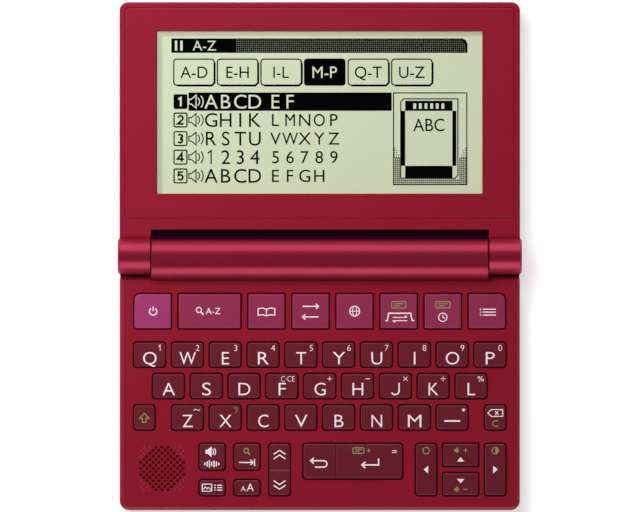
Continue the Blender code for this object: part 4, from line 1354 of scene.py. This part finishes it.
@dataclass(frozen=True)
class KeyCap:
    """One key cap on the skirt that holds it under the deck."""

    node: str
    finish: Finish
    slot: str
    radii: tuple[float, float, float, float] = (1.0, 1.0, 1.0, 1.0)
    trim: Point = (0.10, 0.25)
    meets: int = 0
    tab: float = 0.75
    skirt: float = 0.5
    skirt_height: float = 0.6
    rocker_skirt: float = 0.15
    edge_radius: float = 0.4
    groove_width: float = 0.8
    groove_depth: float = 0.3
    join: float = 0.14
    corner_loss: float = 0.1
    smallest_corner: float = 0.2

    @property
    def rocks(self) -> bool:
        """Say whether this is the key that tilts."""
        return self.node == "key_page_rocker"

    def plan(self) -> Plan:
        """Return the plan of the CAD cap: the node's box less its tabs."""
        low, high = (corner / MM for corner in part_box(self.node))
        in_x, in_y = (self.tab, 0.0) if self.rocks else (0.0, self.tab)
        return Plan(low[0] + in_x, high[0] - in_x, low[1] + in_y, high[1] - in_y, self.radii)

    def trimmed(self) -> Plan:
        """Return the plan of the visible cap, a little smaller than the CAD's.

        Returns:
            The plan, drawn out on the side where the cap meets its neighbour.
        """
        plan = self.plan()
        x, y = self.trim
        radii = tuple(max(radius - self.corner_loss, self.smallest_corner) for radius in plan.radii)
        left = plan.left + (-self.join if self.meets < 0 else x)
        right = plan.right - (-self.join if self.meets > 0 else x)
        return Plan(left, right, plan.front + y, plan.back - y, radii)

    def collar(self, plan: Plan, low: float) -> Form:
        """Return a skirt that leaves out the side where the cap meets its neighbour.

        Args:
            plan: The cap's plan.
            low: Its underside.

        Returns:
            The skirt as its own form.
        """
        left = plan.left - (self.skirt if self.meets > 0 else 0.0)
        right = plan.right + (self.skirt if self.meets < 0 else 0.0)
        corners = (self.smallest_corner,) * 4
        wide = Plan(left, right, plan.front - self.skirt, plan.back + self.skirt, corners)
        return Form().loft(wide, [(low, 0.0), (low + self.skirt_height, 0.0)], 2)

    def build(self, marks: Sequence[Mark]) -> None:
        """Build the cap and print its marks.

        Args:
            marks: The marks on its top.
        """
        plan = self.trimmed()
        low, high = (corner[2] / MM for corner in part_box(self.node))
        levels = rim_levels(low, high, self.edge_radius)
        worn = {len(levels) - 3, len(levels) - 2}
        form = Form()
        if self.meets:
            form.loft(plan, levels, 5, worn)
            form.combine(self.collar(plan, low), "UNION")
        else:
            top = low + (self.rocker_skirt if self.rocks else self.skirt_height)
            foot = [(low, self.skirt), (top, self.skirt), (top, 0.0)]
            form.loft(plan, foot + levels[1:], 5, {number + 2 for number in worn})
        if self.rocks:
            y = plan.center()[1]
            back, front = y + self.groove_width * 0.3, y - self.groove_width * 0.7
            over, floor = high + FAR_OVERRUN, high - self.groove_depth
            notch = [(back, over), (front, over), (front, high), (back - 0.1, floor), (back, floor)]
            ends = plan.left - FAR_OVERRUN, plan.right + FAR_OVERRUN
            form.combine(Form().prism(notch, *ends, True), "DIFFERENCE")
        settle(form, self.node + "_cap", self.finish, self.node, self.node)
        print_marks(self.node, marks, high, self.plan().center(), self.node)


@dataclass(frozen=True)
class Keyboard:
    """All the keys, with the corners and finishes of each group."""

    square: float = 0.35
    round: float = 1.0
    end_back: float = 1.9
    end_front: float = 0.8
    gap: Point = (0.26, 0.18)
    function_gap: Point = (0.33, 0.33)
    trim: Point = (0.10, 0.25)
    function_trim: Point = (0.08, 0.08)

    @staticmethod
    def in_function_row(node: str) -> bool:
        """Say whether a key is one of the large ones in front of the barrel."""
        return node in ("key_power", "key_menu") or node.startswith("key_function")

    def caps(self) -> list[KeyCap]:
        """Return every key's cap.

        Returns:
            The caps, in the order of their nodes' names.
        """
        s, r = self.square, self.round
        special = {
            "key_power": (self.end_front, s, s, self.end_back),
            "key_function_6": (s, self.end_front, self.end_back, s),
            "key_enter": (s, r, r, s),
            "key_back": (r, s, s, r),
            "key_up": (s, s, s, s),
            "key_down": (s, s, s, s),
        }
        caps = []
        for node in sorted(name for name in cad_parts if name.startswith("key_")):
            large = self.in_function_row(node)
            finish, slot = (PLUM, "key_plum") if large else (MAROON, "key_maroon")
            if node == "key_power":
                finish, slot = MAGENTA, "key_magenta"
            radii = special.get(node, (s, s, s, s) if large else (r, r, r, r))
            trim = self.function_trim if large else self.trim
            meets = {"key_back": 1, "key_enter": -1}.get(node, 0)
            caps.append(KeyCap(node, finish, slot, radii, trim, meets))
        return caps

    def openings(self) -> list[Plan]:
        """Return each opening's plan, with back and enter in one.

        Returns:
            The plans, grown by the gap that shows round a cap.
        """
        plans = {cap.node: cap.plan() for cap in self.caps()}
        left, right = plans.pop("key_back"), plans.pop("key_enter")
        plans["shared"] = Plan(left.left, right.right, left.front, left.back, (self.round,) * 4)
        grown = []
        for node, plan in plans.items():
            x, y = self.function_gap if self.in_function_row(node) else self.gap
            radii = tuple(radius + x for radius in plan.radii)
            grown.append(Plan(plan.left - x, plan.right + x, plan.front - y, plan.back + y, radii))
        return grown

    def build(self) -> None:
        """Build every key."""
        marks = legends()
        for cap in self.caps():
            cap.build(marks[cap.node])


# Base


@dataclass(frozen=True)
class Grille:
    """The speaker grille: round holes on a staggered grid, with shallow dimples in its corners."""

    x: float = -49.178
    y: float = -66.303
    pitch: float = 1.894
    hole_radius: float = 0.45
    radius: float = 7.0
    rows: int = 7
    mouth: float = 0.18
    dimple_radius: float = 0.40
    dimple_depth: float = 0.2
    cloth_radius: float = 7.9
    cloth_thickness: float = 0.25

    def cloth(self, under: float) -> None:
        """Build the cloth behind the holes.

        Args:
            under: The deck's underside.
        """
        form = Form().rod(self.cloth_radius, under - self.cloth_thickness, under + 0.01,
                          (self.x, self.y), 40)
        settle(form, "speaker_cloth", GRILLE_CLOTH, "base")

    def places(self, inside: bool) -> list[Point]:
        """Return the places of the holes, or of the dimples round them.

        Args:
            inside: Whether the holes are wanted.

        Returns:
            Their middles.
        """
        found = []
        step = self.pitch / 2
        for row in range(-self.rows, self.rows + 1):
            shift = 0.5 if row % 2 == 0 else 0.0
            for column in range(-self.rows, self.rows + 1):
                x, y = (column + shift) * self.pitch, row * step
                if max(abs(x), abs(y)) > self.rows * step + 0.01:
                    continue
                if (math.hypot(x, y) <= self.radius) == inside:
                    found.append((self.x + x, self.y + y))
        return found

    def cutters(self, under: float, top: float) -> Form:
        """Return the holes and dimples as bodies to cut away.

        Args:
            under: The deck's underside.
            top: Its upper side.

        Returns:
            One form with all of them.
        """
        form = Form()
        for x, y in self.places(True):
            levels = mouth_levels(under - OVERRUN, top, self.mouth, 2)
            own = Form().loft(Plan.disc(x, y, self.hole_radius, 0.004), levels, 4)
            form.take(own.work)
        for place in self.places(False):
            form.rod(self.dimple_radius * 0.25, top - self.dimple_depth, top + self.dimple_depth, place,
                     12, top_radius=self.dimple_radius * 1.75)
        return form


@dataclass(frozen=True)
class UpperCase:
    """The deck with its rounded edge, the barrel, the key openings and the grille."""

    half: float = 62.505
    front: float = -79.3
    cheek: float = -6.4
    bottom: float = 4.4
    deck: float = 9.2
    deck_under: float = 7.8
    wall: float = 1.4
    corner: float = 3.0
    rear_corner: float = 0.5
    edge: float = 1.5
    axis: float = 10.2
    barrel_radius: float = 5.4
    barrel_flat: float = 2.0
    barrel_half: float = 52.6
    heel: float = 4.9
    bulkhead: float = -8.4
    bay_half: float = 46.5
    bay_radius: float = 5.55
    cell: Point = (-1.45, 7.5)
    bore: float = 2.1
    bore_in: float = 47.4
    rim: float = 0.08
    barrel_rim: float = 0.4
    barrel_rim_start: float = 2.0

    def barrel(self) -> Form:
        """Return the barrel with softened ends.

        Returns:
            The barrel as its own form.
        """
        rear = arc((0, self.axis), self.barrel_radius, 0, 90, 24)
        front = arc((-self.barrel_flat, self.axis), self.barrel_radius, 90, 180, 24)
        low_front = (-self.barrel_flat - self.barrel_radius, self.bottom)
        outline = rear + front + [low_front, (self.heel, self.bottom)]
        form = Form().prism(outline, -self.barrel_half, self.barrel_half, True)

        def is_end(edge: bmesh.types.BMEdge) -> bool:
            """Say whether an edge runs round an end above the parting line."""
            ends = [vert.co for vert in edge.verts]
            flat = all(abs(abs(end.x) - self.barrel_half * MM) < 1e-6 for end in ends)
            return flat and min(end.z for end in ends) > (self.bottom + self.barrel_rim_start) * MM

        return form.soften(is_end, self.barrel_rim, 3)

    def build(self, openings: Sequence[Plan], grille: Grille) -> None:
        """Build the case as one moulding.

        Args:
            openings: The key openings' plans.
            grille: The speaker grille.
        """
        corners = (self.corner, self.corner, self.rear_corner, self.rear_corner)
        plan = Plan(-self.half, self.half, self.front, self.cheek, corners)
        levels = rim_levels(self.bottom, self.deck, self.edge, 6)
        form = Form().loft(plan, levels, 10, {4, 5})
        form.combine(self.barrel(), "UNION")
        inner_r = self.corner - self.wall
        inner = Plan(self.wall - self.half, self.half - self.wall, self.front + self.wall,
                     self.bulkhead, (inner_r, inner_r, 0.0, 0.0))
        low = self.bottom - 2 * FAR_OVERRUN
        form.combine(Form().loft(inner, [(low, 0), (self.deck_under, 0)]), "DIFFERENCE")
        over = arc(self.cell, self.bay_radius, 0, 180, 24)
        bay = over + [(self.cell[0] - self.bay_radius, low), (self.cell[0] + self.bay_radius, low)]
        form.combine(Form().prism(bay, -self.bay_half, self.bay_half, True), "DIFFERENCE")
        bores = Form()
        for side in (-1, 1):
            ends = sorted((side * self.bore_in, side * (self.barrel_half + FAR_OVERRUN)))
            bores.rod(self.bore, *ends, (0, self.axis), 24, True)
        form.combine(bores, "DIFFERENCE")
        cutter = Form()
        for opening in openings:
            levels = mouth_levels(self.deck_under - OVERRUN, self.deck, self.rim)
            own = Form().loft(opening, levels, 5)
            cutter.take(own.work)
        form.combine(cutter, "DIFFERENCE")
        form.combine(grille.cutters(self.deck_under, self.deck), "DIFFERENCE")
        settle(form, "upper_case_shell", PAINT, "base", "upper_case")
        grille.cloth(self.deck_under)


@dataclass(frozen=True)
class LowerCase:
    """The tub with its rubber feet, its screws and the dark pieces, painted shade, that close the hinge's
    gaps.
    """

    foot_cut: float = 0.3
    pad_height: float = 0.45
    pad_grow: float = 0.08
    front_foot: Point = (54.505, -72.8)
    front_foot_radius: float = 3.5
    rear_foot: Plan = Plan(48.6, 52.0, -8.0, 0.6, (0.5, 0.5, 0.5, 0.5))
    screws: tuple[Point, ...] = ((48.505, -22.4), (48.505, -65.3))
    screw_radius: float = 1.75
    screw_low: float = 1.6
    screw_high: float = 2.65
    cross_width: float = 0.62
    cross_reach: float = 2.3
    cross_depth: float = 0.55
    cross_heart: Point = (0.5, 0.2)
    seal: Plan = Plan(-53.2, 53.2, 4.5, 5.75)
    seal_low: float = 3.3
    seal_high: float = 4.05
    sill: Plan = Plan(52.62, 62.3, -6.45, -4.4)
    sill_low: float = 4.42
    sill_high: float = 5.9
    collar_radius: float = 5.1
    collar: Point = (52.64, 52.86)
    axis: float = 10.2

    def shell(self) -> None:
        """Build the tub from the CAD shape, with its feet cut back for the rubber."""
        form = Form.of_node("lower_case")
        form.work.verts.ensure_lookup_table()
        everything = form.work.verts[:] + form.work.edges[:] + form.work.faces[:]
        bmesh.ops.bisect_plane(form.work, geom=everything, plane_co=(0, 0, self.foot_cut * MM),
                               plane_no=(0, 0, -1), clear_outer=True)
        open_edges = [edge for edge in form.work.edges if len(edge.link_faces) == 1]
        bmesh.ops.holes_fill(form.work, edges=open_edges, sides=0)
        settle(form, "lower_case_shell", PAINT, "base", "lower_case")

    def feet(self) -> None:
        """Build the four rubber feet."""
        steps = [(0.0, -0.3), (0.1, -0.08), (0.25, 0.0), (self.pad_height, 0.0)]
        levels = [(height, grow + self.pad_grow) for height, grow in steps]
        for side, word in SIDES:
            x, y = side * self.front_foot[0], self.front_foot[1]
            disc = Plan.disc(x, y, self.front_foot_radius + self.pad_grow, 0.01)
            settle(Form().loft(disc, steps, 8, {0, 1}), f"front_foot_{word}", FOOT_RUBBER, "base")
            strip = Form().loft(self.rear_foot.on_side(side), levels, 5, {0, 1})
            settle(strip, f"rear_foot_{word}", FOOT_RUBBER, "base")

    def fasteners(self) -> None:
        """Build the four crosshead screws in their counterbores."""
        low, under = self.screw_low, self.screw_low - OVERRUN
        wide, reach = self.cross_width, self.cross_reach
        heart, heart_depth = self.cross_heart
        for number, (x, y) in enumerate(self.screws):
            for side, word in SIDES:
                place = (side * x, y)
                head = Form().rod(self.screw_radius * 0.86, low, self.screw_high, place, 28,
                                  top_radius=self.screw_radius)
                cross = Form()
                for size in ((wide, reach), (reach, wide)):
                    cross.prism(box(*place, *size), under, low + self.cross_depth)
                middle = Form().prism(box(*place, heart, heart), under, low + heart_depth)
                cross.combine(middle, "UNION")
                head.combine(cross, "DIFFERENCE")
                settle(head, f"screw_{number + 1}_{word}", STEEL, "base")

    def seals(self) -> None:
        """Build the dark strips and collars that close the gaps round the hinge, painted shade that stands
        in for the shadow in those gaps.
        """
        form = Form().loft(self.seal, [(self.seal_low, 0.0), (self.seal_high, 0.0)])
        settle(form, "hinge_seal_shade", SLOT_SHADE, "base")
        for side, word in SIDES:
            sill = Form().loft(self.sill.on_side(side), [(self.sill_low, 0.0), (self.sill_high, 0.0)])
            settle(sill, f"hinge_sill_shade_{word}", SLOT_SHADE, "base")
            low, high = sorted(side * end for end in self.collar)
            collar = Form().rod(self.collar_radius, low, high, (0, self.axis), 40, True)
            settle(collar, f"hinge_collar_shade_{word}", SLOT_SHADE, "base")

    def build(self) -> None:
        """Build the tub and what is fixed to it."""
        self.shell()
        self.feet()
        self.fasteners()
        self.seals()


@dataclass(frozen=True)
class BatteryCover:
    """The cover that closes the bay from below, with an arrow that shows how it slides."""

    half: float = 48.0
    underside: float = 0.6
    end_radius: float = 0.15
    arrow_y: float = -5.6
    arrow: tuple[Point, ...] = ((-1.3, -0.9), (1.3, -0.9), (0.0, 1.1))

    def build(self) -> None:
        """Build the cover from the CAD shape and its raised arrow."""
        form = Form.of_node("battery_cover")

        def is_end(edge: bmesh.types.BMEdge) -> bool:
            """Say whether an edge runs round an end of the cover."""
            return all(abs(abs(vert.co.x) - self.half * MM) < 1e-6 for vert in edge.verts)

        form.soften(is_end, self.end_radius, 2)
        settle(form, "battery_cover_shell", PAINT, "battery_cover", "battery_cover")
        sheet = Sheet(self.underside, (0, self.arrow_y), True)
        Patch(self.arrow).draw(sheet)
        settle(sheet.form, "battery_cover_arrow", PAINT, "battery_cover")


# Lid


@dataclass(frozen=True)
class Lid:
    """The lid: back cover, bezel with its flared window and groove, and the display's glass."""

    half: float = 62.505
    back: float = 79.3
    neck: float = 5.2
    neck_end: float = 5.88
    slot: float = 8.3
    notch_half: float = 52.7
    notch_radius: float = 0.12
    cutter_reach: float = 5.0
    front_chamfer: Point = (0.32, 0.18)
    face: float = 9.9
    bezel_low: float = 8.5
    corner: float = 2.7
    edge: float = 0.6
    window: Plan = Plan(-50.85, 50.75, 19.5, 70.25)
    flare: float = 0.35
    groove_inset: float = 1.6
    groove_width: float = 0.42
    groove_depth: float = 0.42
    groove_near: float = 11.75
    groove_slant: float = 0.08
    groove_radii: tuple[float, float, float, float] = (0.7, 0.7, 1.5, 1.5)
    inner_chamfer: Point = (0.32, 0.17)
    glass_top: float = 8.95
    glass_low: float = 8.6
    liner: tuple[Point, ...] = (
        (5.65, 5.55), (8.35, 5.55), (8.35, 8.45), (7.9, 8.45), (7.9, 5.95), (5.65, 5.95),
    )
    liner_half: float = 52.88

    def cover(self) -> None:
        """Build the back cover from the CAD shape."""
        settle(Form.of_node("lid_back_cover"), "lid_back_cover_shell", PAINT, "lid",
               "lid_back_cover")

    def bezel(self) -> None:
        """Build the bezel with its window, groove and hinge notch."""
        plan = Plan(-self.half, self.half, self.neck, self.back, (0.0, 0.0, self.corner, self.corner))
        form = Form().loft(plan, rim_levels(self.bezel_low, self.face, self.edge, 4), 10, {2, 3})
        start, under, top = self.neck - self.cutter_reach, self.bezel_low - FAR_OVERRUN, self.face
        notch = Plan(-self.notch_half, self.notch_half, start, self.slot)
        form.combine(Form().loft(notch, mouth_levels(under, top, self.notch_radius, 2)), "DIFFERENCE")
        wide = self.half + self.cutter_reach
        front = Plan(-wide, wide, start, self.neck_end)
        run, drop = self.front_chamfer
        steps = [(under, 0), (top - drop, 0), (top, run), (top + FAR_OVERRUN, run)]
        form.combine(Form().loft(front, steps), "DIFFERENCE")
        levels = [(under, 0), (top - self.flare, 0), (top, self.flare), (top + OVERRUN, self.flare)]
        form.combine(Form().loft(self.window, levels), "DIFFERENCE")
        side = self.half - self.groove_inset
        radii = self.groove_radii
        outer = Plan(-side, side, self.groove_near, self.back - self.groove_inset, radii)
        low = top - self.groove_depth
        slant = self.groove_slant
        ring = Form().loft(outer, [(low, 0), (low + 0.2, 0), (top, slant), (top + OVERRUN, slant)], 8)
        run, drop = self.inner_chamfer
        width = self.groove_width
        inner = [(low - FAR_OVERRUN, -width), (top - drop, -width), (top, -width - run),
                 (top + FAR_OVERRUN, -width - run)]
        ring.combine(Form().loft(outer, inner, 8), "DIFFERENCE")
        form.combine(ring, "DIFFERENCE")
        settle(form, "lid_bezel_frame", PAINT, "lid", "lid_bezel")

    def slot_liner(self) -> None:
        """Build the dark strip at the bottom of the slot behind the barrel, painted shade that stands in
        for the slot's shadow.
        """
        form = Form().prism(self.liner, -self.liner_half, self.liner_half, True)
        settle(form, "lid_slot_shade", SLOT_SHADE, "lid")

    def glass(self) -> None:
        """Build the display's glass and print its picture."""
        levels = [(self.glass_low, -0.02), (self.glass_top - 0.03, -0.02), (self.glass_top, -0.05)]
        settle(Form().loft(self.window, levels), "display_glass", DISPLAY, "lid")
        print_marks("display", DisplayPicture().marks(), self.glass_top, (0.0, 0.0), "lid")

    def build(self) -> None:
        """Build the lid's pieces."""
        self.cover()
        self.bezel()
        self.slot_liner()
        self.glass()


@dataclass(frozen=True)
class DisplayPicture:
    """The display's picture: a header, six index tabs, five rows and a framed card."""

    header: Plan = Plan(-46.3, 46.05, 63.45, 67.95)
    header_split: float = -26.36
    header_bars: Point = (-44.85, -43.15)
    header_title: float = -36.0
    tabs: tuple[str, ...] = ("A-D", "E-H", "I-L", "M-P", "Q-T", "U-Z")
    chosen_tab: int = 3
    tab_left: float = -45.75
    tab_pitch: float = 13.6
    tab_width: float = 13.0
    tab_height: float = 8.5
    tab_y: float = 57.45
    rows: tuple[tuple[str, str], ...] = (
        ("ABCD", "EF"), ("GHIK", "LMNOP"), ("RSTU", "VWXYZ"), ("1234", "56789"), ("ABCD", "EFGH"),
    )
    row_y: tuple[float, ...] = (48.23, 42.5, 36.7, 30.9, 25.06)
    row_bar: tuple[float, float, float] = (-9.25, 63.4, 5.7)
    number_x: float = -43.46
    speaker_x: float = -38.6
    cell: float = 4.55
    first_cell: float = -33.9
    second_word: float = -13.8
    letter: float = 4.3
    small_letter: float = 3.8
    card: Plan = Plan(25.28, 43.1, 24.3, 49.1)
    card_bars: Point = (26.65, 41.4)
    card_bands: Point = (28.2, 45.35)

    def header_marks(self) -> list[Mark]:
        """Return the header bar, its halftone and its pale title."""
        bar = self.header
        middle = (bar.front + bar.back) / 2
        height = bar.back - bar.front
        dark = box((bar.left + self.header_split) / 2, middle, self.header_split - bar.left, height)
        left, cut = self.header_split, 1.7
        corner = [(bar.right, bar.back - cut), (bar.right - 0.5, bar.back - 0.9 * 0.5),
                  (bar.right - cut, bar.back)]
        tone = [(left, bar.front), (bar.right, bar.front)] + corner + [(left, bar.back)]
        edge = [(bar.right - 0.25, bar.front), (bar.right - 0.25, bar.back - cut),
                (bar.right - cut, bar.back - 0.2)]
        return [
            Patch(dark, Ink.DARK),
            Patch(tone, Ink.TONE),
            Line(edge, 0.62, False, Ink.DARK),
            Line([(left, bar.back - 0.14), (bar.right - cut, bar.back - 0.14)], 0.28, False, Ink.DARK),
            Line([(left, bar.front + 0.14), (bar.right, bar.front + 0.14)], 0.28, False, Ink.DARK),
            *(Patch(box(x, middle, 0.75, 3.15), Ink.PALE) for x in self.header_bars),
            Text("A-Z", 3.1, self.header_title, middle - 1.55, Ink.PALE, thin=-0.004),
        ]

    def tab_marks(self) -> list[Mark]:
        """Return the tabs, with the chosen one dark."""
        marks: list[Mark] = []
        for i, body in enumerate(self.tabs):
            x = self.tab_left + i * self.tab_pitch + self.tab_width / 2
            outline = round_box(x, self.tab_y, self.tab_width - 0.4, self.tab_height - 0.4, 0.9)
            chosen = i == self.chosen_tab
            if chosen:
                full = round_box(x, self.tab_y, self.tab_width, self.tab_height, 1.0)
                marks.append(Patch(full, Ink.DARK))
            else:
                marks.append(Line(outline, 0.38, True, Ink.DARK))
                w, h = self.tab_width / 2 - 0.05, self.tab_height / 2 - 0.05
                shade = [(x - w + 1.2, self.tab_y - h), (x + w - 0.9, self.tab_y - h),
                         (x + w, self.tab_y - h + 0.9), (x + w, self.tab_y + h - 1.2)]
                marks.append(Line(shade, 0.6, False, Ink.DARK))
            ink = Ink.PALE if chosen else Ink.DARK
            marks.append(Text(body, 3.6, x, self.tab_y - 1.85, ink, thin=0.0, wide=0.95))
        return marks

    @staticmethod
    def numeral(number: int, x: float, y: float, ink: Ink) -> list[Mark]:
        """Return a bold numeral from one to five about its middle."""
        strokes = {
            1: [(-0.7, 0.75), (0.1, 1.25), (0.1, -1.45)],
            2: arc((0, 0.55), 0.75, 165, -35, 7) + [(-0.85, -1.2), (0.95, -1.2)],
            3: arc((-0.1, 0.6), 0.68, 150, -70, 7) + arc((-0.1, -0.58), 0.72, 70, -150, 7),
            4: [(0.4, -1.45), (0.4, 1.2), (-0.95, -0.6), (1.05, -0.6)],
            5: [(0.75, 1.2), (-0.55, 1.2), (-0.65, 0.15)] + arc((-0.05, -0.45), 0.78, 100, -150, 8),
        }
        return [Line(moved(strokes[number], x, y), 0.56, False, ink)]

    def word_marks(self, word: str, x: float, y: float, height: float, ink: Ink) -> list[Mark]:
        """Return the letters of a word, one to a cell.

        Args:
            word: The letters.
            x: The first cell's middle.
            y: The row's middle.
            height: The letters' height.
            ink: Their tone.

        Returns:
            The marks.
        """
        marks: list[Mark] = []
        for j, letter in enumerate(word):
            place, low = x + j * self.cell, y - height / 2
            if letter == "1":
                marks += Icon.one(place, low, height, 0.42, ink)
            else:
                wide = 0.86 if letter in "MWOQ" else 1.0
                marks.append(Text(letter, height, place, low, ink, thin=0.0, wide=wide))
        return marks

    def row_marks(self) -> list[Mark]:
        """Return the numbered rows, with the first one chosen."""
        marks: list[Mark] = []
        bar_x, bar_width, bar_height = self.row_bar
        for i, ((first, second), y) in enumerate(zip(self.rows, self.row_y)):
            chosen = i == 0
            ink = Ink.PALE if chosen else Ink.DARK
            if chosen:
                marks.append(Patch(round_box(self.number_x, y, 4.3, 4.6, 0.5), Ink.DARK))
                marks.append(Patch(box(bar_x, y, bar_width, bar_height), Ink.DARK))
            else:
                marks.append(Line(round_box(self.number_x, y, 4.0, 4.3, 0.4), 0.4, True, Ink.DARK))
            marks += self.numeral(i + 1, self.number_x, y, ink)
            marks += Icon.speaker(self.speaker_x, y, 4.3, 2, ink, True)
            marks += self.word_marks(first, self.first_cell, y, self.letter, ink)
            size = self.letter if chosen else self.small_letter
            marks += self.word_marks(second, self.second_word, y, size, ink)
        return marks

    def card_marks(self) -> list[Mark]:
        """Return the framed card on the right, with patches of mesh round its foot."""
        card = self.card
        left, right = self.card_bars
        low, high = self.card_bands
        x, y = (left + right) / 2, (low + high) / 2
        outline = [(card.left, card.front), (card.right - 0.9, card.front), (card.right, card.front + 0.9),
                   (card.right, card.back), (card.left + 0.9, card.back), (card.left, card.back - 0.9)]
        marks: list[Mark] = [
            Line(box(34.46, 36.65, 22.85, 28.6), 0.34, True, Ink.DARK),
            Patch(box(24.1, 26.6, 1.9, 8.4), Ink.MESH),
            Patch(box(44.6, 26.6, 2.2, 8.4), Ink.MESH),
            Patch(box(34.3, 23.3, 18.4, 1.5), Ink.MESH),
            Line(outline, 0.34, True, Ink.DARK),
            Patch(box((card.left + left) / 2, y, left - card.left, high - low), Ink.DARK),
            Patch(box(right + 0.6, y, 1.2, high - low), Ink.DARK),
            Patch(box(x, (high + card.back - 0.6) / 2, right - left, card.back - 0.6 - high), Ink.DARK),
            Patch(box(x, (low + card.front + 0.15) / 2, right - left, low - card.front - 0.15), Ink.DARK),
            Text("ABC", 3.9, x, 39.0, Ink.DARK, thin=0.0, wide=0.9),
        ]
        for i in range(6):
            marks.append(Patch(box(x - 4.4 + i * 1.76, 46.85, 0.9, 1.7), Ink.PALE))
        for row in range(5):
            for column in range(3 - row // 2):
                for edge, turn in ((23.35, 1), (45.55, -1)):
                    place = edge + turn * column * 0.62
                    marks.append(Patch(box(place, 30.85 + row * 0.72, 0.3, 0.3), Ink.DARK))
        return marks

    def marks(self) -> list[Mark]:
        """Return everything on the display."""
        return self.header_marks() + self.tab_marks() + self.row_marks() + self.card_marks()


@dataclass(frozen=True)
class Insides:
    """The CAD nodes that keep their shape and get their finishes here."""

    finishes: tuple[tuple[str, Finish], ...] = (
        ("batteries", CELL),
        ("circuit_board", BOARD),
        ("rubber_dome_sheet", DOME_RUBBER),
        ("speaker", SPEAKER_CONE),
        ("hinge_shaft_left", STEEL),
        ("hinge_shaft_right", STEEL),
        ("lcd_panel", DISPLAY_FRAME),
    )

    def build(self) -> None:
        """Dress each node that stays."""
        for node, finish in self.finishes:
            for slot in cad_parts[node].material_slots:
                slot.material = finish.material()
            LOG.info("%s dressed", node)


# Studio


@dataclass(frozen=True)
class Softbox:
    """A large soft lamp that faces the middle of the object."""

    name: str
    azimuth: float
    elevation: float
    distance: float
    width: float
    height: float
    radiance: float
    soft: bool = True
    mirrored: bool = True

    def build(self) -> None:
        """Hang the lamp."""
        data = bpy.data.lights.new(self.name, "AREA")
        data.shape = "RECTANGLE"
        data.size = self.width
        data.size_y = self.height
        data.energy = self.radiance * math.pi * self.width * self.height
        lamp = link_object(bpy.data.objects.new(self.name, data))
        turn, rise = math.radians(self.azimuth), math.radians(self.elevation)
        away = Vector((math.cos(turn) * math.cos(rise), math.sin(turn) * math.cos(rise), math.sin(rise)))
        lamp.location = away * self.distance
        lamp.rotation_euler = away.to_track_quat("Z", "Y").to_euler()
        lamp.visible_camera = False
        lamp.visible_diffuse = self.soft
        lamp.visible_glossy = self.mirrored


@dataclass(frozen=True)
class Studio:
    """The pale floor, the soft light and the camera over the object."""

    floor_half: float = 6.0
    floor_height: float = -0.05
    fill: float = 0.13
    floor_glow: float = 0.6
    camera_x: float = 0.078
    camera_y: float = 0.062
    camera_height: float = 3.3375
    lens: float = 600.0
    sensor: float = 36.0
    lamps: tuple[Softbox, ...] = (
        Softbox("overhead", 128, 60, 0.5, 0.4, 0.4, 5.45, mirrored=False),
        Softbox("strip_back", 90, 31, 1.1, 1.5, 0.95, 1.6, soft=False),
        Softbox("strip_front", -90, 31, 1.1, 1.5, 0.90, 1.65, soft=False),
        Softbox("strip_left", 180, 34, 1.1, 0.9, 0.40, 1.1, soft=False),
        Softbox("strip_right", 0, 30, 1.1, 0.9, 0.24, 1.1, soft=False),
        Softbox("under", 90, -60, 1.2, 0.8, 0.8, 1.4),
    )

    def floor(self) -> None:
        """Lay the floor: white to the camera, with the object's shadow, and open from below."""
        form = Form()
        size = self.floor_half / MM
        form.ring(Plan(-size, size, -size, size), self.floor_height, 0.0, 1)
        mesh = bpy.data.meshes.new("floor")
        form.work.to_mesh(mesh)
        form.work.free()
        material = bpy.data.materials.new("floor_white")
        material.use_nodes = True
        graph = Graph(material.node_tree)
        seen = graph.add("ShaderNodeLightPath", output="Is Camera Ray")
        for ray in ("Glossy", "Transmission"):
            seen = seen + graph.add("ShaderNodeLightPath", output=f"Is {ray} Ray")
        base = {"Base Color": (0.8, 0.8, 0.8), "Roughness": 0.9, "Specular IOR Level": 0.0}
        board = graph.add("ShaderNodeBsdfPrincipled", {}, base)
        glow = graph.add("ShaderNodeEmission", {}, {"Color": (1, 1, 1), "Strength": seen * self.floor_glow})
        lit = graph.add("ShaderNodeAddShader", {}, {0: board, 1: glow})
        clear = graph.add("ShaderNodeBsdfTransparent")
        under = graph.add("ShaderNodeNewGeometry", output="Backfacing")
        both = graph.add("ShaderNodeMixShader", {}, {0: under, 1: lit, 2: clear})
        graph.add("ShaderNodeOutputMaterial", {}, {"Surface": both})
        mesh.materials.append(material)
        link_object(bpy.data.objects.new("floor", mesh))

    def world(self) -> None:
        """Fill the room with dim light and show it white to the camera."""
        world = bpy.data.worlds.new("studio")
        bpy.context.scene.world = world
        world.use_nodes = True
        graph = Graph(world.node_tree)
        seen = graph.add("ShaderNodeLightPath", output="Is Camera Ray")
        power = self.fill + seen * (1.0 - self.fill)
        glow = graph.add("ShaderNodeBackground", {}, {"Color": (1, 1, 1), "Strength": power})
        graph.add("ShaderNodeOutputWorld", {}, {"Surface": glow})

    def camera(self) -> None:
        """Hang the camera straight over the open part."""
        data = bpy.data.cameras.new("camera")
        data.lens = self.lens
        data.sensor_width = self.sensor
        camera = link_object(bpy.data.objects.new("camera", data))
        camera.location = (self.camera_x * MM, self.camera_y * MM, self.camera_height)
        bpy.context.scene.camera = camera

    def build(self) -> None:
        """Set up the studio."""
        scene = bpy.context.scene
        scene.view_settings.view_transform = "Standard"
        self.floor()
        self.world()
        self.camera()
        for lamp in self.lamps:
            lamp.build()


def main() -> None:
    """Build the studio and every piece."""
    logging.basicConfig(level=logging.INFO, format="%(name)s: %(message)s")
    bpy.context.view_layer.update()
    Studio().build()
    keyboard = Keyboard()
    UpperCase().build(keyboard.openings(), Grille())
    LowerCase().build()
    BatteryCover().build()
    Lid().build()
    keyboard.build()
    Insides().build()


if __name__ == "__main__":
    main()
